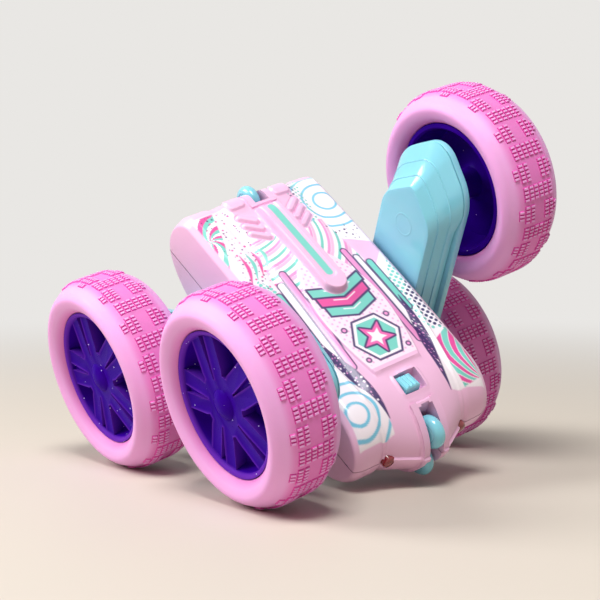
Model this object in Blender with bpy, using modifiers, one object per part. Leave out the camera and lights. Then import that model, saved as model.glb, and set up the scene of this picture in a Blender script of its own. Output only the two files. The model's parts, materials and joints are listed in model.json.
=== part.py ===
"""Double-sided stunt car: a split body on a cross axis, two swinging gear arms, four driven wheels.

Metres, +Z up, +Y towards the front end, +X to the right.  The car stands as it does after a flip: both left
wheels and the lower right wheel carry it, so the cross axis is rolled, and the body is pitched on that axis.
Inside the body frame Y runs to the front end and Z out of the upper deck; inside an arm frame X points
outwards and Y runs along the arm.
"""
import math

import bmesh
import bpy
from mathutils import Matrix, Vector

# Standing pose
BODY_PITCH = math.radians(41.2)
RIGHT_ARM_SWING = math.radians(55.0)
LEFT_ARM_SWING = 0.0

# Fits
GAP = 0.0003            # between pieces that rest on or are cut by each other
RUN_GAP = 0.0003        # radial play of a turning piece

# Body
BODY_HALF_WIDTH = 0.0315
DECK_BEVEL = 0.0032
DECK_HALF_WIDTH = BODY_HALF_WIDTH - DECK_BEVEL
CHEEK_WIDTH = 0.0078
CHEEK_INNER = DECK_HALF_WIDTH - CHEEK_WIDTH
CREASE_WIDTH = 0.0020   # outer side of the groove between a cheek and the middle
CREASE = CHEEK_INNER - CREASE_WIDTH
CREASE_SLOPE = 0.0035
CENTRE_EDGE = CREASE - CREASE_SLOPE
TIP_HALF_WIDTH = 0.0060
WALL = 0.0020
DECK_CROWN = 0.0010
LOWER_DECK = 0.0210
LOWER_ROUND = 0.0040    # the lower rear end is this much longer in its round than the upper one
FRONT_AXIS = 0.0050     # the front end's foremost line lies above the seam
RAKE_START = 0.0120     # where the lower deck starts to rise to the front

# Arms and the gears in them: one on the drive shaft, an idler each way, one on each axle
ARM_REACH = 0.0450      # cross axis to wheel axis
GEAR_TEETH = 14
WHEEL_TEETH = 10
MODULE = 2 * ARM_REACH / (3 * GEAR_TEETH + WHEEL_TEETH)
IDLER_REACH = GEAR_TEETH * MODULE
GEAR_WIDTH = 0.0036
GEAR_CLEARANCE = 0.0004
GEAR_BACKLASH = 0.0006
PRESSURE_ANGLE = math.radians(25)
ADDENDUM = 0.62         # in modules
DEDENDUM = 0.95
POST_RADIUS = 0.0024
ARM_CLEARANCE = 0.0013  # body to arm
HOUSING_DEPTH = 0.0102
COVER_DEPTH = 0.0032
COVER_BEVEL = 0.0006
ARM_INNER_FACE = BODY_HALF_WIDTH + ARM_CLEARANCE
ARM_SPLIT = ARM_INNER_FACE + HOUSING_DEPTH
ARM_OUTER_FACE = ARM_SPLIT + COVER_DEPTH
ARM_WIDTH = (15.7 * MODULE, 21.3 * MODULE)      # at the inner and the outer face
ARM_END = (ARM_REACH + 4.8 * MODULE, ARM_REACH + 13.9 * MODULE)
ARM_TIP_ROUND = (2.0 * MODULE, 5.6 * MODULE)
ARM_SHOULDER_ROUND = (6.4 * MODULE, 9.8 * MODULE)
ARM_POINT = math.radians(49)    # slant of the ends
ARM_FLARE = 1.3         # power of the widening across the housing's depth
ARM_WALL = 0.0017
ARM_FLOOR = 0.0022
CAVITY_INSET = 0.05     # of the arm's taper, under the terrace steps
TERRACES = 3
TERRACE_RISER = 0.0007
SLEEVE_RADIUS = 0.0062
SLEEVE_FLANGE = 0.0080
FLANGE_THICKNESS = 0.0018
SHAFT_RADIUS = 0.0020

# Wheels
TYRE_RADIUS = 0.0380
TYRE_SIDEWALL = 0.0122  # rim to tread
TYRE_SHOULDER = 0.0106  # round between the flat tread and the sidewall
TYRE_CREST = math.radians(25)   # where that round ends, from the wheel's axis
TREAD_HALF_WIDTH = 0.0042
TYRE_HALF_WIDTH = TREAD_HALF_WIDTH + TYRE_SHOULDER * math.cos(TYRE_CREST)
TYRE_WALL = 0.0026
TYRE_CLEARANCE = 0.00355
WHEEL_TRACK = 2 * (ARM_OUTER_FACE + TYRE_CLEARANCE + TYRE_HALF_WIDTH)
RIM_RADIUS = TYRE_RADIUS - TYRE_SIDEWALL
RIM_WALL = 0.0022
RIM_FACE = 0.0104       # rim edges from the tyre's middle plane
WEB_FACE = 0.0052       # pocket floor, from the middle plane
WEB_THICKNESS = 0.0020
SPOKES = 5
SPOKE_RISE = 0.0050     # spoke faces above the pocket floor
SPOKE_WIDTH = 0.0088
SPOKE_GROOVE = 0.0026
SPOKE_START = math.radians(10)
BOSS_RADIUS = 0.0055
BOSS_INNER = 0.0080     # inner end of the axle boss, from the middle plane
CAP_RISE = 0.0012
AXLE_RADIUS = 0.0025

# Rollers at the body's ends
ROLLER_RADIUS = 0.0063
ROLLER_WIDTH = 0.0050
ROLLER_ROUND = 0.0016
PIN_RADIUS = 0.0010
SLOT_CLEARANCE = 0.0007
SLOT_HALF_WIDTH = ROLLER_WIDTH / 2 + SLOT_CLEARANCE
EAR_THICKNESS = 0.0027
EAR_RISE = 0.0008
ROLLERS = {"rear_upper": (-0.0645, 0.0078), "rear_lower": (-0.0645, -0.0078),
           "front_upper": (0.0535, 0.0167), "front_lower": (0.0505, -0.0075)}

# Fittings
MOTOR_RADIUS = 0.0080
MOTOR_INNER = 0.0035
MOTOR_CLEARANCE = 0.0012
FLANGE_FACE = BODY_HALF_WIDTH - WALL - RUN_GAP
MOTOR_OUTER = FLANGE_FACE - FLANGE_THICKNESS - MOTOR_CLEARANCE
SHAFT_ENTRY = 0.0070
SADDLE_THICKNESS = 0.0040
SWITCH_PLACE = -0.0480
SWITCH_WINDOW = (0.0096, 0.0074)
SWITCH_KNOB = (0.0064, 0.0066)
KNOB_RISE = 0.0008
KNOB_BEVEL = 0.0005
SLIDER_BASE = 0.0012
SWITCH_BODY = (0.0150, 0.0090, 0.0030)
BOARD_SIZE = (0.0340, 0.0380, 0.0016)
BOARD_PLACE = (-0.0340, 0.0084)
BOARD_POST = 0.0020
BATTERY_SIZE = (0.0320, 0.0260, 0.0120)
BATTERY_BEVEL = 0.0012
BATTERY_PLACE = -0.0240
DOOR_SIZE = (0.0380, 0.0310)
DOOR_LEDGE = 0.0015
LENS_RADIUS = 0.0026
LENS_FLANGE = LENS_RADIUS + 0.0010
LENS_PLACE = CREASE - 0.0017
LENS_RISE = 0.0006
LENS_SEAT = 0.0018      # flange seat behind the nose
LENS_DEPTH = 0.0060
SCREW_INSET = 0.0075
SCREW_ALONG = (0.0380, -0.0430)
SCREW_HEAD = (0.0024, 0.0016)
SCREW_SHANK = 0.0011
SCREW_LENGTH = 0.0100
SCREW_SEAT = 0.0050     # head seat below the seam
SMALL_SCREW_LENGTH = 0.0060
TUBE_WALL = 0.0014

# Raised deck panel with its spine
PANEL_RISE = 0.0012
PANEL_MARGIN = 0.0033   # panel to switch window
PANEL_REAR = SWITCH_PLACE + SWITCH_WINDOW[1] / 2 + PANEL_MARGIN
PANEL_WAIST = CENTRE_EDGE - 0.0002
PANEL_REAR_WIDTH = 0.0105
SPINE_MARGIN = 0.0007   # spine to roller ears
SPINE_FRONT = ROLLERS["front_upper"][0] - ROLLER_RADIUS - EAR_THICKNESS - SPINE_MARGIN
SPINE_REAR = -0.0050
SPINE_HALF_WIDTH = 0.0052
SPINE_RISE = 0.0036

# Facet counts
TYRE_SIDES = 32
HUB_SIDES = 24
ROUND_SIDES = 14
SMALL_SIDES = 8
ARC_STEPS = 3

PALETTE = {
    "pink_shell": ((0.83, 0.50, 0.68), 0.38, 0.0),
    "print_white": ((0.90, 0.84, 0.90), 0.35, 0.0),
    "mint_plastic": ((0.28, 0.66, 0.70), 0.28, 0.0),
    "tyre_pink": ((0.86, 0.36, 0.62), 0.55, 0.0),
    "hub_violet": ((0.07, 0.02, 0.36), 0.18, 0.0),
    "lens_red": ((0.25, 0.01, 0.03), 0.12, 0.0),
    "gear_white": ((0.85, 0.85, 0.82), 0.40, 0.0),
    "motor_steel": ((0.55, 0.55, 0.57), 0.35, 1.0),
    "battery_wrap": ((0.08, 0.20, 0.45), 0.40, 0.0),
    "board_green": ((0.03, 0.22, 0.10), 0.50, 0.0),
    "switch_black": ((0.03, 0.03, 0.03), 0.45, 0.0),
}


# Scene helpers

def clear_scene():
    for old in list(bpy.data.objects):
        bpy.data.objects.remove(old, do_unlink=True)


def new_collection(name):
    made = bpy.data.collections.new(name)
    bpy.context.scene.collection.children.link(made)
    return made


def make_material(name):
    colour, roughness, metallic = PALETTE[name]
    made = bpy.data.materials.new(name)
    made.use_nodes = True
    shader = made.node_tree.nodes["Principled BSDF"]
    shader.inputs["Base Color"].default_value = (*colour, 1.0)
    shader.inputs["Roughness"].default_value = roughness
    shader.inputs["Metallic"].default_value = metallic
    return made


clear_scene()
PARTS = new_collection("rc_stunt_car")
CUTTERS = new_collection("cutters")
MATERIALS = {name: make_material(name) for name in PALETTE}


def add_empty(name, parent=None, matrix=None):
    made = bpy.data.objects.new(name, None)
    PARTS.objects.link(made)
    made.parent = parent
    made.matrix_local = matrix or Matrix.Identity(4)
    return made


def add_object(name, mesh, parent, material=None, matrix=None):
    """A part when it has a material, otherwise a hidden guide for a Boolean."""
    made = bpy.data.objects.new(name, mesh)
    if material:
        PARTS.objects.link(made)
        mesh.materials.append(MATERIALS[material])
    else:
        CUTTERS.objects.link(made)
        made.hide_render = True
        made.display_type = "WIRE"
    made.parent = parent
    made.matrix_local = matrix or Matrix.Identity(4)
    return made


def boolean(target, operand, operation):
    modifier = target.modifiers.new(operand.name, "BOOLEAN")
    modifier.operation = operation
    modifier.solver = "EXACT"
    modifier.use_self = True
    modifier.object = operand


def cut(target, operand):
    boolean(target, operand, "DIFFERENCE")


def join(target, operand):
    boolean(target, operand, "UNION")


def to_mesh(shape, name):
    shape.normal_update()
    bmesh.ops.recalc_face_normals(shape, faces=shape.faces)
    mesh = bpy.data.meshes.new(name)
    shape.to_mesh(mesh)
    shape.free()
    mesh.shade_smooth()
    mesh.set_sharp_from_angle(angle=math.radians(35))
    return mesh


# Shape helpers

def mix(a, b, share):
    return a + (b - a) * share


def box_into(shape, low, high):
    low, high = Vector(low), Vector(high)
    made = bmesh.ops.create_cube(shape, size=1.0)["verts"]
    size = high - low
    bmesh.ops.scale(shape, vec=size, verts=made)
    bmesh.ops.translate(shape, vec=(low + high) / 2, verts=made)


def rod_into(shape, start, end, radius, sides=SMALL_SIDES):
    start, end = Vector(start), Vector(end)
    turn = (end - start).to_track_quat("Z", "Y").to_matrix().to_4x4()
    place = Matrix.Translation((start + end) / 2) @ turn
    bmesh.ops.create_cone(shape, cap_ends=True, segments=sides, radius1=radius, radius2=radius,
                          depth=(end - start).length, matrix=place)


def loft_mesh(name, rings, flat_base=False):
    """Closed solid through rings with equally many points, flat caps on the first and the last.

    With a flat base the rings' first and last points lie in one plane, which gets a single face.
    """
    shape = bmesh.new()
    rows = [[shape.verts.new(point) for point in ring] for ring in rings]
    count = len(rows[0])
    for row, following in zip(rows, rows[1:]):
        for i in range(count - 1 if flat_base else count):
            j = (i + 1) % count
            shape.faces.new((row[i], row[j], following[j], following[i]))
    if flat_base:
        bmesh.ops.triangulate(shape, faces=shape.faces[:])
        shape.faces.new([row[0] for row in rows] + [row[-1] for row in reversed(rows)])
    shape.faces.new(rows[0])
    shape.faces.new(rows[-1])
    return to_mesh(shape, name)


def turned_object(name, profile, parent, material, sides, closed, matrix=None):
    """Profile of (radius, height) points, down its outer side, turned about X of the parent frame."""
    mesh = bpy.data.meshes.new(name)
    points = [(radius, 0.0, height) for radius, height in profile]
    edges = [(i, i + 1) for i in range(len(points) - 1)]
    if closed:
        edges.append((len(points) - 1, 0))
    mesh.from_pydata(points, edges, [])
    upright = Matrix.Rotation(math.pi / 2, 4, "Y")
    made = add_object(name, mesh, parent, material, (matrix or Matrix.Identity(4)) @ upright)
    screw = made.modifiers.new("turn", "SCREW")
    screw.axis = "Z"
    screw.steps = sides
    screw.render_steps = sides
    screw.use_merge_vertices = True
    screw.merge_threshold = 0.00001
    screw.use_smooth_shade = True
    return made


def extruded_mesh(name, outlines, low, high):
    """Outline with its holes, as (y, z) points, extruded along X from low to high."""
    curve = bpy.data.curves.new(name, "CURVE")
    curve.dimensions = "2D"
    curve.fill_mode = "BOTH"
    curve.extrude = (high - low) / 2
    for outline in outlines:
        spline = curve.splines.new("POLY")
        spline.points.add(len(outline) - 1)
        for point, (across, up) in zip(spline.points, outline):
            point.co = (across, up, 0.0, 1.0)
        spline.use_cyclic_u = True
    flat = bpy.data.objects.new(name, curve)
    CUTTERS.objects.link(flat)
    graph = bpy.context.evaluated_depsgraph_get()
    mesh = bpy.data.meshes.new_from_object(flat.evaluated_get(graph))
    bpy.data.objects.remove(flat, do_unlink=True)
    shape = bmesh.new()
    shape.from_mesh(mesh)
    bmesh.ops.remove_doubles(shape, verts=shape.verts, dist=0.000001)
    turn = Matrix(((0, 0, 1, (low + high) / 2), (1, 0, 0, 0), (0, 1, 0, 0), (0, 0, 0, 1)))
    bmesh.ops.transform(shape, matrix=turn, verts=shape.verts)
    return to_mesh(shape, name)


def circle(radius, sides):
    step = 2 * math.pi / sides
    return [(radius * math.cos(step * i), radius * math.sin(step * i)) for i in range(sides)]


def arc(centre, radius, start, stop, steps):
    turns = [mix(start, stop, i / steps) for i in range(steps + 1)]
    return [(centre[0] + radius * math.cos(turn), centre[1] + radius * math.sin(turn)) for turn in turns]


def arm_outline(half_width, end, tip_round, shoulder_round):
    """Outline of an arm level: straight sides, round shoulders, slants and a round tip at each end."""
    slant = math.pi / 2 - ARM_POINT
    tip = end - tip_round
    inset = half_width - shoulder_round
    shoulder = tip + (tip_round - shoulder_round - inset * math.sin(slant)) / math.cos(slant)
    upper = arc((tip, 0.0), tip_round, 0.0, slant, ARC_STEPS)
    upper += arc((shoulder, inset), shoulder_round, slant, math.pi / 2, ARC_STEPS)
    outline = [(along, -across) for along, across in reversed(upper[1:])] + upper
    return outline + [(-along, -across) for along, across in outline]


# Standing frames

ROLL = math.atan(ARM_REACH * math.sin(RIGHT_ARM_SWING) / WHEEL_TRACK)
CAR = add_empty("car", None, Matrix.Rotation(-ROLL, 4, "Y"))
BODY = add_empty("body", CAR, Matrix.Rotation(BODY_PITCH, 4, "X"))
HALF_TURN = Matrix.Rotation(math.pi, 4, "Z")
SIDES = {"left": Matrix.Rotation(LEFT_ARM_SWING, 4, "X") @ HALF_TURN,
         "right": Matrix.Rotation(-RIGHT_ARM_SWING, 4, "X")}
# Which arm end is the front one, in each arm's own frame
ENDS = {"left": {"front": -1, "rear": 1}, "right": {"front": 1, "rear": -1}}


# Body surface: every section across the car has the same few values

SECTION_STATIONS = [
    # half width place, rear tip, rear round, rear height, front tip, front round, front height
    (0.0, 0.0695, 0.0295, 0.0188, 0.0570, 0.0075, 0.0228),
    (TIP_HALF_WIDTH, 0.0690, 0.0290, 0.0188, 0.0570, 0.0075, 0.0228),
    (CENTRE_EDGE, 0.0645, 0.0245, 0.0186, 0.0575, 0.0080, 0.0224),
    (CREASE, 0.0622, 0.0200, 0.0174, 0.0580, 0.0090, 0.0214),
    (CHEEK_INNER, 0.0632, 0.0172, 0.0176, 0.0594, 0.0105, 0.0216),
    (DECK_HALF_WIDTH, 0.0630, 0.0170, 0.0174, 0.0596, 0.0110, 0.0213),
    (BODY_HALF_WIDTH, 0.0620, 0.0160, 0.0148, 0.0587, 0.0107, 0.0180),
]
CENTRE_HEIGHT = SECTION_STATIONS[0][6]


def section_values(across):
    across = min(abs(across), BODY_HALF_WIDTH)
    for inner, outer in zip(SECTION_STATIONS, SECTION_STATIONS[1:]):
        if across <= outer[0]:
            share = (across - inner[0]) / (outer[0] - inner[0])
            return [mix(a, b, share) for a, b in zip(inner[1:], outer[1:])]
    return list(SECTION_STATIONS[-1][1:])


def lower_depth(front_height):
    """Depth of the lower deck: as much below its middle height as the upper deck is."""
    return LOWER_DECK - (CENTRE_HEIGHT - front_height)


def ellipse_arc(centre, radii, first, last, count):
    made = []
    for i in range(count):
        angle = math.radians(mix(first, last, i / (count - 1)))
        made.append((centre[0] + radii[0] * math.cos(angle), centre[1] + radii[1] * math.sin(angle)))
    return made


def section(across, side, grow=0.0):
    """Outline (y, z) from the rear tip over the deck to the front, at the seam at both ends."""
    rear_tip, rear_round, rear_height, front_tip, front_round, front_height = section_values(across)
    rear_tip, front_tip = rear_tip + grow, front_tip + grow
    depth = lower_depth(front_height) + grow
    rake = (FRONT_AXIS + depth, front_tip - RAKE_START)
    low_angle = math.asin(FRONT_AXIS / rake[0])
    if side > 0:
        rear_height, front_height = rear_height + grow, front_height + grow
        rear_centre, front_centre = rear_round + grow - rear_tip, front_tip - front_round - grow
        made = ellipse_arc((rear_centre, 0.0), (rear_round + grow, rear_height), 180, 90, 6)
        for share in (0.25, 0.5, 0.75):
            crown = DECK_CROWN * 4 * share * (1 - share)
            made.append((mix(rear_centre, front_centre, share),
                         mix(rear_height, front_height, share) + crown))
        made += ellipse_arc((front_centre, FRONT_AXIS), (front_round + grow, front_height - FRONT_AXIS),
                            90, 0, 5)
        made.append((RAKE_START + rake[1] * math.cos(low_angle), 0.0))
        return made
    rear_round += LOWER_ROUND
    rear_centre = rear_round + grow - rear_tip
    made = ellipse_arc((rear_centre, 0.0), (rear_round + grow, depth), 180, 270, 6)
    made.append((mix(rear_centre, RAKE_START, 0.5), -depth))
    made += ellipse_arc((RAKE_START, FRONT_AXIS), (rake[1], rake[0]), 270, 360 - math.degrees(low_angle), 6)
    return made


def deck_height(across, along, grow=0.0):
    """Height of the upper deck's surface at a place."""
    points = section(across, 1, grow)
    for (y0, z0), (y1, z1) in zip(points, points[1:]):
        if y0 <= along <= y1:
            return mix(z0, z1, (along - y0) / (y1 - y0))
    return 0.0


def half_shell_mesh(name, side, grow, sources, seam):
    """Solid of one half of the body, from the seam plane outwards, through sections at some places."""
    rings = []
    for source in [-place for place in reversed(sources)] + list(sources):
        place = source + grow * math.copysign(1, source) if abs(source) >= DECK_HALF_WIDTH else source
        outline = section(source, side, grow)
        first, last = outline[0], outline[-1]
        outline = [(first[0], seam)] + outline[1:-1] + [(last[0], seam)]
        rings.append([(place, y, z) for y, z in outline])
    return loft_mesh(name, rings, flat_base=True)


def ear_outline(side, roller):
    """Side plate of a roller slot: the body's end outline, raised a little, down to the seam."""
    along, _ = ROLLERS[roller]
    reach = ROLLER_RADIUS + EAR_THICKNESS
    outline = section(0.0, side, EAR_RISE)
    if along < 0:
        limit = along + reach
        kept = [point for point in outline if point[0] < limit]
        top = edge_point(outline, limit)
        return kept[1:] + [top, (limit, side * GAP)] + [(kept[0][0], side * GAP)]
    limit = along - reach
    kept = [point for point in outline if point[0] > limit]
    top = edge_point(outline, limit)
    return [top] + kept[:-1] + [(kept[-1][0], side * GAP), (limit, side * GAP)]


def edge_point(outline, along):
    for (y0, z0), (y1, z1) in zip(outline, outline[1:]):
        if y0 <= along <= y1:
            return (along, mix(z0, z1, (along - y0) / (y1 - y0)))
    return outline[-1]


# Body shells

SEAM = GAP / 2


def screw_spots():
    return [(sign * (BODY_HALF_WIDTH - SCREW_INSET), along) for along in SCREW_ALONG for sign in (1, -1)]


def shell(name, side):
    sources = [place for place, *_ in SECTION_STATIONS[1:]]
    made = add_object(name, half_shell_mesh(name, side, 0.0, sources, side * SEAM), BODY, "pink_shell")
    sources = (TIP_HALF_WIDTH, CREASE, DECK_HALF_WIDTH, BODY_HALF_WIDTH)
    hollow = half_shell_mesh(name + "_hollow", side, -WALL, sources, -side * WALL)
    cut(made, add_object(name + "_hollow", hollow, BODY))
    ends = [key for key in ROLLERS if ("upper" in key) == (side > 0)]
    for key in ends:
        for sign in (1, -1):
            inner, outer = sorted((sign * SLOT_HALF_WIDTH, sign * (SLOT_HALF_WIDTH + EAR_THICKNESS)))
            ear = extruded_mesh(f"{name}_{key}_ear", [ear_outline(side, key)], inner, outer)
            join(made, add_object(f"{name}_{key}_ear", ear, BODY))
    inside = bmesh.new()
    holes = bmesh.new()
    if side > 0:
        upper_fittings(inside, holes)
    else:
        lower_fittings(inside, holes)
    end_holes(holes, side, ends)
    join(made, add_object(name + "_bosses", to_mesh(inside, name + "_bosses"), BODY))
    cut(made, add_object(name + "_holes", to_mesh(holes, name + "_holes"), BODY))


def end_holes(holes, side, ends):
    """Roller slots, pin holes, the cross axis bore and the lens seats of one half."""
    for key in ends:
        along, up = ROLLERS[key]
        outwards = math.copysign(1, along)
        back = along - outwards * (ROLLER_RADIUS + EAR_THICKNESS - WALL)
        low_along, high_along = sorted((back, along + outwards * 4 * ROLLER_RADIUS))
        low_up, high_up = sorted((-side * WALL, side * 6 * ROLLER_RADIUS))
        box_into(holes, (-SLOT_HALF_WIDTH, low_along, low_up), (SLOT_HALF_WIDTH, high_along, high_up))
        pin = PIN_RADIUS + GAP
        for sign in (1, -1):
            rod_into(holes, (sign * (SLOT_HALF_WIDTH - GAP), along, up),
                     (sign * (SLOT_HALF_WIDTH + EAR_THICKNESS - GAP), along, up), pin)
    for sign in (1, -1):
        rod_into(holes, (sign * (BODY_HALF_WIDTH - 2 * WALL), 0, 0), (sign * (BODY_HALF_WIDTH + WALL), 0, 0),
                 SLEEVE_RADIUS + RUN_GAP, ROUND_SIDES)
        seat = LENS_SEAT - lens_face()
        rod_into(holes, (sign * LENS_PLACE, -lens_face() - WALL, 0), (sign * LENS_PLACE, seat + GAP, 0),
                 LENS_RADIUS + GAP, ROUND_SIDES)
        rod_into(holes, (sign * LENS_PLACE, seat, 0), (sign * LENS_PLACE, seat + 3 * WALL, 0),
                 LENS_FLANGE + GAP, ROUND_SIDES)


def lens_face():
    return section_values(LENS_PLACE)[0]


def upper_fittings(inside, holes):
    for across, along in screw_spots():
        top = deck_height(across, along) - WALL / 2
        hole, depth = SCREW_SHANK + GAP, SCREW_LENGTH - SCREW_SEAT + GAP
        rod_into(inside, (across, along, SEAM), (across, along, top), hole + TUBE_WALL)
        rod_into(holes, (across, along, -WALL), (across, along, depth), hole)
    board_along, board_up = BOARD_PLACE
    for across in (-1, 1):
        for end in (-1, 1):
            spot = (across * (BOARD_SIZE[0] / 2 - 2 * BOARD_POST),
                    board_along + end * (BOARD_SIZE[1] / 2 - 2 * BOARD_POST))
            top = deck_height(*spot) - WALL / 2
            rod_into(inside, (*spot, board_up + BOARD_SIZE[2] / 2 + GAP), (*spot, top), BOARD_POST)
    width, length = SWITCH_WINDOW
    box_into(holes, (-width / 2, SWITCH_PLACE - length / 2, deck_height(0, SWITCH_PLACE) - 3 * WALL),
             (width / 2, SWITCH_PLACE + length / 2, deck_height(0, SWITCH_PLACE) + 2 * WALL))


def lower_fittings(inside, holes):
    for across, along in screw_spots():
        head = SCREW_HEAD[0] + GAP
        rod_into(inside, (across, along, -SEAM), (across, along, -LOWER_DECK + 2.4 * WALL), head + TUBE_WALL)
        rod_into(holes, (across, along, WALL), (across, along, -SCREW_SEAT - GAP), SCREW_SHANK + GAP)
        rod_into(holes, (across, along, -SCREW_SEAT), (across, along, -LOWER_DECK - WALL), head)
    for sign in (1, -1):
        middle = sign * (MOTOR_INNER + MOTOR_OUTER) / 2
        box_into(inside, (middle - SADDLE_THICKNESS / 2, -MOTOR_RADIUS, -LOWER_DECK + WALL / 2),
                 (middle + SADDLE_THICKNESS / 2, MOTOR_RADIUS, -MOTOR_RADIUS / 2))
        rod_into(holes, (sign * (MOTOR_INNER - WALL), 0, 0), (sign * (MOTOR_OUTER + GAP), 0, 0),
                 MOTOR_RADIUS + GAP, ROUND_SIDES)
    width, length = DOOR_SIZE
    frame = -LOWER_DECK + WALL
    box_into(inside, (-width / 2 - DOOR_LEDGE, BATTERY_PLACE - length / 2 - DOOR_LEDGE, frame - WALL / 2),
             (width / 2 + DOOR_LEDGE, BATTERY_PLACE + length / 2 + DOOR_LEDGE, frame + DOOR_LEDGE))
    box_into(holes, (-width / 2, BATTERY_PLACE - length / 2, frame - 2 * WALL),
             (width / 2, BATTERY_PLACE + length / 2, frame + GAP))
    box_into(holes, (DOOR_LEDGE - width / 2, BATTERY_PLACE + DOOR_LEDGE - length / 2, frame),
             (width / 2 - DOOR_LEDGE, BATTERY_PLACE + length / 2 - DOOR_LEDGE, frame + 2 * DOOR_LEDGE))


def deck_panel():
    """Raised printed panel that follows the deck, with a spine towards the front."""
    rings = []
    count = 9
    for i in range(count):
        share = i / (count - 1)
        along = mix(PANEL_REAR, SPINE_FRONT - SPINE_HALF_WIDTH, share)
        swell = math.sin(math.pi * min(1.0, share * 1.45)) ** 0.8
        half = mix(mix(PANEL_REAR_WIDTH, SPINE_HALF_WIDTH, share), PANEL_WAIST, swell)
        ring = []
        inner = min(TIP_HALF_WIDTH, half / 2)
        for across in (-half, -inner, 0.0, inner, half):
            ring.append((across, along, deck_height(across, along) + PANEL_RISE))
        for across in (half, inner, 0.0, -inner, -half):
            ring.append((across, along, deck_height(across, along) + GAP))
        rings.append(ring)
    made = add_object("deck_panel", loft_mesh("deck_panel", rings), BODY, "print_white")
    spine = []
    stations = 9
    for i in range(stations):
        share = i / (stations - 1)
        along = mix(SPINE_REAR, SPINE_FRONT, share)
        rear_fade = min(1.0, share * 6)
        half = SPINE_HALF_WIDTH * math.sqrt(1 - (1 - rear_fade) ** 2 * 0.8)
        top = deck_height(0, along) + mix(PANEL_RISE * 1.5, SPINE_RISE, rear_fade)
        base = deck_height(0, along) + 0.6 * PANEL_RISE
        spine.append([(-half, along, base), (-half, along, top - PANEL_RISE / 2), (0, along, top),
                      (half, along, top - PANEL_RISE / 2), (half, along, base)])
    join(made, add_object("deck_spine", loft_mesh("deck_spine", spine), BODY))


# Body fittings

def rollers():
    for key, (along, up) in ROLLERS.items():
        axis = add_empty(f"{key}_roller_axis", BODY, Matrix.Translation((0, along, up)))
        half, bore = ROLLER_WIDTH / 2, PIN_RADIUS + RUN_GAP
        face, edge = ROLLER_RADIUS - ROLLER_ROUND, half - ROLLER_ROUND
        profile = [(bore, half), (face, half), (ROLLER_RADIUS, edge), (ROLLER_RADIUS, -edge), (face, -half),
                   (bore, -half)]
        turned_object(f"{key}_roller", profile, axis, "mint_plastic", ROUND_SIDES, True)
        reach = SLOT_HALF_WIDTH + EAR_THICKNESS - 2 * GAP
        pin = bmesh.new()
        rod_into(pin, (-reach, along, up), (reach, along, up), PIN_RADIUS)
        add_object(f"{key}_roller_pin", to_mesh(pin, key + "_pin"), BODY, "motor_steel")


def lenses():
    for name, sign in (("left", -1), ("right", 1)):
        face = lens_face() + LENS_RISE
        place = Matrix.Translation((sign * LENS_PLACE, -face, 0)) @ Matrix.Rotation(-math.pi / 2, 4, "Z")
        seat = -LENS_RISE - LENS_SEAT - GAP
        profile = [(0, 0.4 * LENS_RISE), (0.6 * LENS_RADIUS, 0.2 * LENS_RISE), (LENS_RADIUS, -LENS_RISE),
                   (LENS_RADIUS, seat), (LENS_FLANGE, seat), (LENS_FLANGE, -LENS_DEPTH), (0, -LENS_DEPTH)]
        turned_object(f"{name}_tail_lens", profile, BODY, "lens_red", ROUND_SIDES, False, place)


def screw_object(name, parent, matrix, length):
    """Head and shank down -X of its own frame, head seat at the origin."""
    radius, height = SCREW_HEAD
    profile = [(0, height), (0.8 * radius, height), (radius, 0.6 * height), (radius, 0),
               (SCREW_SHANK, 0), (SCREW_SHANK, SCREW_SHANK - length), (0, -length)]
    turned_object(name, profile, parent, "motor_steel", SMALL_SIDES, False, matrix)


def body_screws():
    face_down = Matrix.Rotation(math.pi / 2, 4, "Y")
    for number, (across, along) in enumerate(screw_spots(), start=1):
        place = Matrix.Translation((across, along, -SCREW_SEAT - 2 * GAP)) @ face_down
        screw_object(f"shell_screw_{number}", BODY, place, SCREW_LENGTH)


def motors():
    for name, sign in (("left", -1), ("right", 1)):
        turn = Matrix.Identity(4) if sign > 0 else HALF_TURN
        profile = [(0, MOTOR_OUTER), (MOTOR_RADIUS, MOTOR_OUTER), (MOTOR_RADIUS, MOTOR_INNER),
                   (0, MOTOR_INNER)]
        solid = turned_object(f"{name}_gear_motor", profile, BODY, "motor_steel", ROUND_SIDES, False, turn)
        entry = bmesh.new()
        rod_into(entry, (sign * (MOTOR_OUTER - SHAFT_ENTRY), 0, 0), (sign * (MOTOR_OUTER + WALL), 0, 0),
                 SHAFT_RADIUS + RUN_GAP, ROUND_SIDES)
        cut(solid, add_object(f"{name}_shaft_entry", to_mesh(entry, name + "_entry"), BODY))


def power_parts():
    width, length, height = BATTERY_SIZE
    floor = -LOWER_DECK + WALL + GAP
    pack = bmesh.new()
    box_into(pack, (-width / 2, BATTERY_PLACE - length / 2, floor),
             (width / 2, BATTERY_PLACE + length / 2, floor + height))
    bmesh.ops.bevel(pack, geom=pack.edges[:], offset=BATTERY_BEVEL, segments=1, affect="EDGES")
    add_object("battery_pack", to_mesh(pack, "battery_pack"), BODY, "battery_wrap")
    width, length = DOOR_SIZE
    door = bmesh.new()
    box_into(door, (-width / 2 + GAP, BATTERY_PLACE - length / 2 + GAP, -LOWER_DECK),
             (width / 2 - GAP, BATTERY_PLACE + length / 2 - GAP, -LOWER_DECK + WALL))
    add_object("battery_door", to_mesh(door, "battery_door"), BODY, "pink_shell")


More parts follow.
